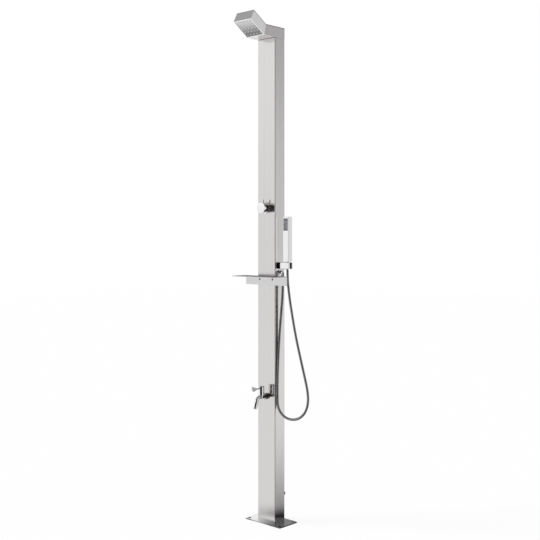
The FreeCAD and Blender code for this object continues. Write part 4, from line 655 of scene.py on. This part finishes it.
# a turned sheet: each (radius, distance along the axis from the foot) of the eased outline runs once round
# the axis; flutes take depth * cos^2 hollows out of the outermost rows between two distances
def turned(outline, cuts, foot, axis, sides, closed=False, steps=5, flutes=None):
    radii, distances = eased(outline, cuts, closed, steps).T
    axis = unit(axis)
    upright = abs(axis[2]) > 0.9
    across = unit(np.cross(axis, (0.0, 1.0, 0.0) if upright else (0.0, 0.0, 1.0)))
    radius = np.repeat(radii[:, None], sides, axis=1)
    if flutes:
        count, depth, low, high = flutes
        outermost = radii > 0.9 * radii.max()
        inside = (distances > low) & (distances < high) & outermost
        radius = radius - inside[:, None] * depth * np.cos(count * roundAngles(sides) / 2) ** 2
    ring = circles(sides, across, np.cross(axis, across))
    grid = mm * (np.asarray(foot, float) + distances[:, None, None] * axis + radius[..., None] * ring)
    return grid, "loop" if closed else "open"


# a tube along a flat bent line: rings of the given radius stand square to the line
def tubeAlong(line, radius, normal, sides):
    line = np.asarray(line, float)
    heading = unit(np.gradient(line, axis=0))
    up = np.broadcast_to(unit(normal), line.shape)
    return mm * (line[:, None] + radius * circles(sides, up, np.cross(heading, up)))


# straight, a quarter or other arc round one corner, straight: the arc is tangent to both runs
def bentLine(start, corner, end, radius, steps, runSteps=4):
    start, corner, end = (np.asarray(p, float) for p in (start, corner, end))
    back, onward = unit(start - corner), unit(end - corner)
    half = math.acos(np.clip(back @ onward, -1, 1)) / 2
    reach = radius / math.tan(half)
    towards = -unit(back + onward)
    sideways = unit(onward - back)
    centre = corner - towards * radius / math.sin(half)
    turn = np.linspace(-1, 1, steps) * (math.pi / 2 - half)
    arc = centre + radius * (np.cos(turn)[:, None] * towards + np.sin(turn)[:, None] * sideways)
    along = np.linspace(0, 1, runSteps)[:, None]
    inRun = start + along[:-1] * (corner + back * reach - start)
    outRun = corner + onward * reach + along[1:] * (end - corner - onward * reach)
    return np.concatenate([inRun, arc, outRun])


# knob, in mm: a hollow cap turned about its axis, with a boss for the spindle inside, a groove next to the
# ring and a round pin on top
knob = {
    "cap": {
        "foot": (0, -38.3, 1331), "axis": (0, -1, 0), "sides": 128,
        "outline": [
            (0, 20.7), (4.05, 20.7), (4.05, 1), (8, 1), (8, 21.6), (18, 21.6), (18, 0), (20.5, 0), (20.5, 2),
            (23, 2), (23, 26.6), (0, 26.6)],
        "cuts": [0, 0.2, 0.3, 0.3, 0.8, 1.2, 0.3, 0.3, 0.4, 0.4, 0.7, 0]},
    "pin": {
        "foot": (0, -50.9, 1349), "axis": (0, 0, 1), "sides": 32,
        "outline": [(0, 0), (3, 0), (3, 17), (0, 17)], "cuts": [0, 0.1, 0.9, 0]},
    "ring": {
        "foot": (0, -30, 1331), "axis": (0, -1, 0), "sides": 128, "closed": True,
        "outline": [(15.1, 0), (25.5, 0), (25.5, 6.5), (24, 8), (15.1, 8)], "cuts": 0.4},
}


def makeKnob():
    makePiece("knobCap", "knob", [turned(**knob["cap"])], "chrome")
    makePiece("knobPin", "knob_pin", [turned(**knob["pin"])], "chrome")
    makePiece("knobRing", "valve_ring", [turned(**knob["ring"])], "chrome")


# foot tap, in mm: hub, wall pipe and bent spout in one body, then its flange, the domed cap and the spout's
# sleeve, all turned or drawn along the spout's line
tap = {
    "hub": {
        "foot": (0, -62.6, 526.4), "axis": (0, 0, 1), "sides": 96, "steps": 9,
        "outline": [(0, 0), (5.4, 0), (8.3, 3.6), (8.9, 9), (9.3, 13), (9.4, 17.2), (0, 17.2)],
        "cuts": [0, 3, 3, 3, 1, 0.3, 0]},
    "pipe": {
        "foot": (0, -7.1, 535), "axis": (0, -1, 0), "sides": 96,
        "outline": [(0, 0), (8.3, 0), (8.3, 55.5), (0, 55.5)], "cuts": 0.3},
    "flange": {
        "foot": (0, -30, 535), "axis": (0, -1, 0), "sides": 96, "closed": True,
        "outline": [(8.4, 0), (14, 0), (14, 3), (12, 3), (12, 12), (8.4, 12)],
        "cuts": [0.1, 0.2, 1.2, 0.3, 0.7, 0.3]},
    "cap": {
        "foot": (0, -62.6, 544), "axis": (0, 0, 1), "sides": 96, "steps": 12,
        "outline": [(0, 35), (9.5, 35), (9.5, 0), (13.5, 0), (13.5, 39), (0, 39)],
        "cuts": [0, 0.5, 0.3, 0.4, 6.5, 0]},
    "spoutLine": {
        "start": (0, -62.6, 535), "corner": (0, -86, 535), "end": (0, -101.497, 489.993), "radius": 20,
        "steps": 24},
    "spout": {"normal": (1, 0, 0), "sides": 64}, "spoutRadius": 8.0, "spoutBore": 5.5,
    "sleeve": {
        "sides": 72, "closed": True, "outline": [(8.15, 0), (9.8, 0), (9.8, 28), (8.15, 28)], "cuts": 0.6},
    "sleeveLength": 28,
}


def makeTap():
    line = bentLine(**tap["spoutLine"])
    outside = tubeAlong(line, tap["spoutRadius"], **tap["spout"])
    inside = tubeAlong(line, tap["spoutBore"], **tap["spout"])
    spout = np.concatenate([outside, inside[::-1]]), "loop"
    makePiece("tapBody", "tap_body", [turned(**tap["hub"]), turned(**tap["pipe"]), spout], "chrome", sharp=50)
    end = np.array(tap["spoutLine"]["end"])
    heading = unit(end - tap["spoutLine"]["corner"])
    sleeve = turned(foot=end - heading * tap["sleeveLength"], axis=heading, **tap["sleeve"])
    makePiece("spoutSleeve", "spout_sleeve", [sleeve], "chrome")
    makePiece("tapFlange", "tap_wall_flange", [turned(**tap["flange"])], "darkChrome")
    makePiece("tapCap", "tap_cap", [turned(**tap["cap"])], "chrome")


# hose outlet, in mm: flange and elbow drawn along a bent line, the fluted hose nut under it, and the cone nut
# with its ferrule at the hose's other end
outlet = {
    "flange": {
        "foot": (50, 0, 1060), "axis": (1, 0, 0), "sides": 72,
        "outline": [(0, 0), (11, 0), (11, 3), (0, 3)], "cuts": [0, 0.1, 1.2, 0]},
    "elbowLine": {
        "start": (50, 0, 1060), "corner": (67, 0, 1060), "end": (67, 0, 1047.6), "radius": 7.9, "steps": 20},
    "elbow": {"radius": 7.8, "normal": (0, 1, 0), "sides": 64},
    "nut": {
        "foot": (67, 0, 1034), "axis": (0, 0, 1), "sides": 112, "flutes": (14, 0.5, 2.6, 11.4),
        "outline": [(0, 0), (8.2, 0), (8.2, 2.4), (8.2, 2.8), (8.2, 11.2), (8.2, 11.6), (8.2, 14), (0, 14)],
        "cuts": [0, 1, 0.1, 0.1, 0.1, 0.1, 1, 0]},
    "cone": {
        "foot": (93.5, 0, 1072), "axis": (0, 0, 1), "sides": 96, "closed": True,
        "outline": [(6.4, 0), (8.5, 0), (10.8, 29.8), (11.8, 29.8), (11.8, 31.6), (6.4, 31.6)], "cuts": 0.4},
    "ferrule": {
        "foot": (93.5, 0, 1070), "axis": (0, 0, 1), "sides": 64, "closed": True,
        "outline": [(4, 0), (6.3, 0), (6.3, 20.5), (7.8, 20.5), (7.8, 22.5), (4, 22.5)], "cuts": 0.4},
}


def makeOutlet():
    elbow = tubeAlong(bentLine(**outlet["elbowLine"]), **outlet["elbow"]), "capped"
    makePiece("outletElbow", "hose_elbow", [turned(**outlet["flange"]), elbow], "chrome", sharp=50)
    nut = makePiece("hoseNut", "hose_nut", [turned(**outlet["nut"])], "chrome")
    makePiece("coneNut", "hose_cone_nut", [turned(**outlet["cone"])], "chrome")
    makePiece("hoseFerrule", "hose_ferrule", [turned(**outlet["ferrule"])], "chrome")
    return nut


# hose coupler at the back, in mm: a fluted nut, a body and a grooved nose, one outline turned about Y
coupler = {
    "foot": (0, 37.5, 102), "axis": (0, 1, 0), "sides": 144, "flutes": (24, 0.9, 0.8, 16.2), "closed": True,
    "outline": [
        (10.6, 0), (15, 0), (15, 1), (15, 16), (15, 17), (9.5, 17), (9.5, 25), (7.8, 25), (7.8, 36.2),
        (6.2, 36.2), (6.2, 39.2), (7.8, 39.2), (7.8, 43.4), (5.8, 45.4), (4.25, 45.4), (4.25, 12.3),
        (10.6, 12.3)],
    "cuts": 0.5,
}


def makeCoupler():
    makePiece("hoseCoupler", "hose_coupler", [turned(**coupler)], "couplerPlastic")


# shelf, in mm: an L section (depth, height) with an eased bend, drawn along X; near each end it shrinks by a
# quarter round, and the free corners follow a quarter circle; a mask marks the upper face for its painted
# shade, from a little past the bend to a little below the top
shelf = {
    "half": 118.0, "back": -30, "front": -121, "low": 1005, "top": 1044, "sheet": 3,
    "cuts": [0.6, 4.5, 0.9, 0.9, 1.5, 0.6], "corner": 4.0, "edge": 0.7, "pastBend": 0.5, "belowTop": 0.3,
    "steps": 7, "endSteps": 6, "middleSteps": 41,
}


def makeShelf():
    back, front, low, top = shelf["back"], shelf["front"], shelf["low"], shelf["top"]
    inner, plateShadow = back - shelf["sheet"], top - shelf["sheet"]
    outline = [(back, low), (back, top), (front, top), (front, plateShadow), (inner, plateShadow), (inner, low)]
    section = eased(outline, shelf["cuts"], closed=True, steps=shelf["steps"])
    tangent = unit(np.roll(section, -1, axis=0) - np.roll(section, 1, axis=0))
    inward = np.stack([-tangent[:, 1], tangent[:, 0]], axis=1)
    corner, edge, half = shelf["corner"], shelf["edge"], shelf["half"]
    turn = np.linspace(0, np.pi / 2, shelf["endSteps"])
    ends = np.r_[half - corner + (corner - edge) * np.sin(turn), half - edge + edge * np.sin(turn[1:])]
    middle = np.linspace(-half + corner, half - corner, shelf["middleSteps"])[1:-1]
    x = np.r_[-ends[::-1], middle, ends]
    past = np.clip(np.abs(x) - (half - corner), 0, corner)
    sweep = (corner - np.sqrt(corner ** 2 - past ** 2))[:, None]
    rise = np.clip(np.abs(x) - (half - edge), 0, edge) / edge
    inset = edge * (1 - np.sqrt(1 - rise ** 2))
    grid = np.zeros((len(x), len(section), 3))
    grid[..., 0] = x[:, None]
    grid[..., 1:] = section[None] + inset[:, None, None] * inward[None]
    grid[..., 1] = np.maximum(grid[..., 1], front + sweep)
    grid[..., 2] = np.maximum(grid[..., 2], low + sweep)
    upper = (section[:, 1] > top - shelf["belowTop"]) & (section[:, 0] < back - shelf["pastBend"])
    makePiece(
        "shelfSheet", "shelf", [(grid * mm, "capped")], "shelfSteel",
        values={"shelfTopShade": np.broadcast_to(upper, grid.shape[:2])})


makeKnob()
makeTap()
hoseNut = makeOutlet()
makeCoupler()
makeShelf()
print("shower post: knob, tap, outlet, coupler and shelf made")


# hose, lengths in mm and its route in metres: its line is one smooth spline that follows the route's points
hose = {
    "diameter": 11.0, "pitch": 3.1, "groove": 0.75, "sides": 14, "ringsPerTurn": 6, "plainEnd": 5.0,
    "order": 3, "resolution": 40,
    "route": [
        (0.067, 0.0, 1.034), (0.067, 0.0, 1.004), (0.0666, -0.0008, 0.972),
        (0.065, -0.0026, 0.935), (0.0626, -0.0052, 0.89), (0.0598, -0.0084, 0.838),
        (0.0572, -0.0116, 0.782), (0.0562, -0.0148, 0.728), (0.056, -0.018, 0.676),
        (0.056, -0.0204, 0.628), (0.056, -0.0216, 0.586), (0.0561, -0.0218, 0.552),
        (0.0562, -0.0214, 0.523), (0.057, -0.02, 0.498), (0.0658, -0.0186, 0.477),
        (0.083, -0.0174, 0.4614), (0.106, -0.0164, 0.4518), (0.132, -0.0158, 0.4501),
        (0.1591, -0.0151, 0.4553), (0.1836, -0.0143, 0.4688), (0.2031, -0.0135, 0.49),
        (0.2152, -0.0128, 0.5173), (0.2179, -0.0122, 0.5493), (0.2123, -0.0116, 0.5843),
        (0.2014, -0.0112, 0.6214), (0.1888, -0.0108, 0.6608), (0.176, -0.0104, 0.7025),
        (0.1625, -0.0098, 0.7455), (0.1492, -0.009, 0.7899), (0.137, -0.008, 0.8357),
        (0.1254, -0.0066, 0.8823), (0.1137, -0.005, 0.929), (0.104, -0.0032, 0.976),
        (0.096, -0.0014, 1.021), (0.0935, 0.0, 1.053), (0.0935, 0.0, 1.07),
    ],
}


def hoseLine():
    data = bpy.data.curves.new("hoseLine", "CURVE")
    data.dimensions = "3D"
    data.resolution_u = hose["resolution"]
    spline = data.splines.new("NURBS")
    route = np.array(hose["route"])
    spline.points.add(len(route) - 1)
    spline.points.foreach_set("co", np.c_[route, np.ones(len(route))].ravel())
    spline.order_u = hose["order"]
    spline.use_endpoint_u = True
    holder = bpy.data.objects.new("hoseLine", data)
    flat = bpy.data.meshes.new_from_object(holder)
    line = np.zeros(len(flat.vertices) * 3)
    flat.vertices.foreach_get("co", line)
    bpy.data.objects.remove(holder)
    bpy.data.curves.remove(data)
    bpy.data.meshes.remove(flat)
    return line.reshape(-1, 3)


# the hose's skin at (length s, angle a): its radius follows the crowned band 1 - |2p - 1|^3, where the phase
# p is s / pitch + a / 2 pi, and both ends are plain; rings stand square to the line and turn with the Y axis
def makeHose():
    line = hoseLine()
    run = np.r_[0, np.cumsum(np.linalg.norm(np.diff(line, axis=0), axis=1))]
    length = run[-1]
    pitch, sides = hose["pitch"] * mm, hose["sides"]
    count = int(length / pitch * hose["ringsPerTurn"])
    s = np.linspace(0, length, count)
    centre = np.stack([np.interp(s, run, line[:, k]) for k in range(3)], axis=1)
    heading = unit(np.gradient(centre, axis=0))
    side = unit(np.cross(heading, (0.0, 1.0, 0.0)))
    phase = (s[:, None] / pitch + roundAngles(sides) / (2 * np.pi)) % 1.0
    crown = 1 - np.abs(2 * phase - 1) ** 3
    fade = np.clip(np.minimum(s, length - s) / (hose["plainEnd"] * mm), 0, 1)[:, None]
    crown = 1 - (1 - crown) * fade
    radius = mm * (hose["diameter"] / 2 - hose["groove"] * (1 - crown))
    skin = centre[:, None] + radius[..., None] * circles(sides, side, np.cross(side, heading))
    piece = makePiece(
        "hose", "shower_hose", [(skin, "capped")], "hoseSteel", sharp=180.0, values={"crown": crown},
        merge=False, blended=True)
    return piece, line, length


hosePiece, hosePoints, hoseLength = makeHose()
print("shower post: hose %.4f m" % hoseLength)
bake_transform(hosePiece)

print("shower post: done")
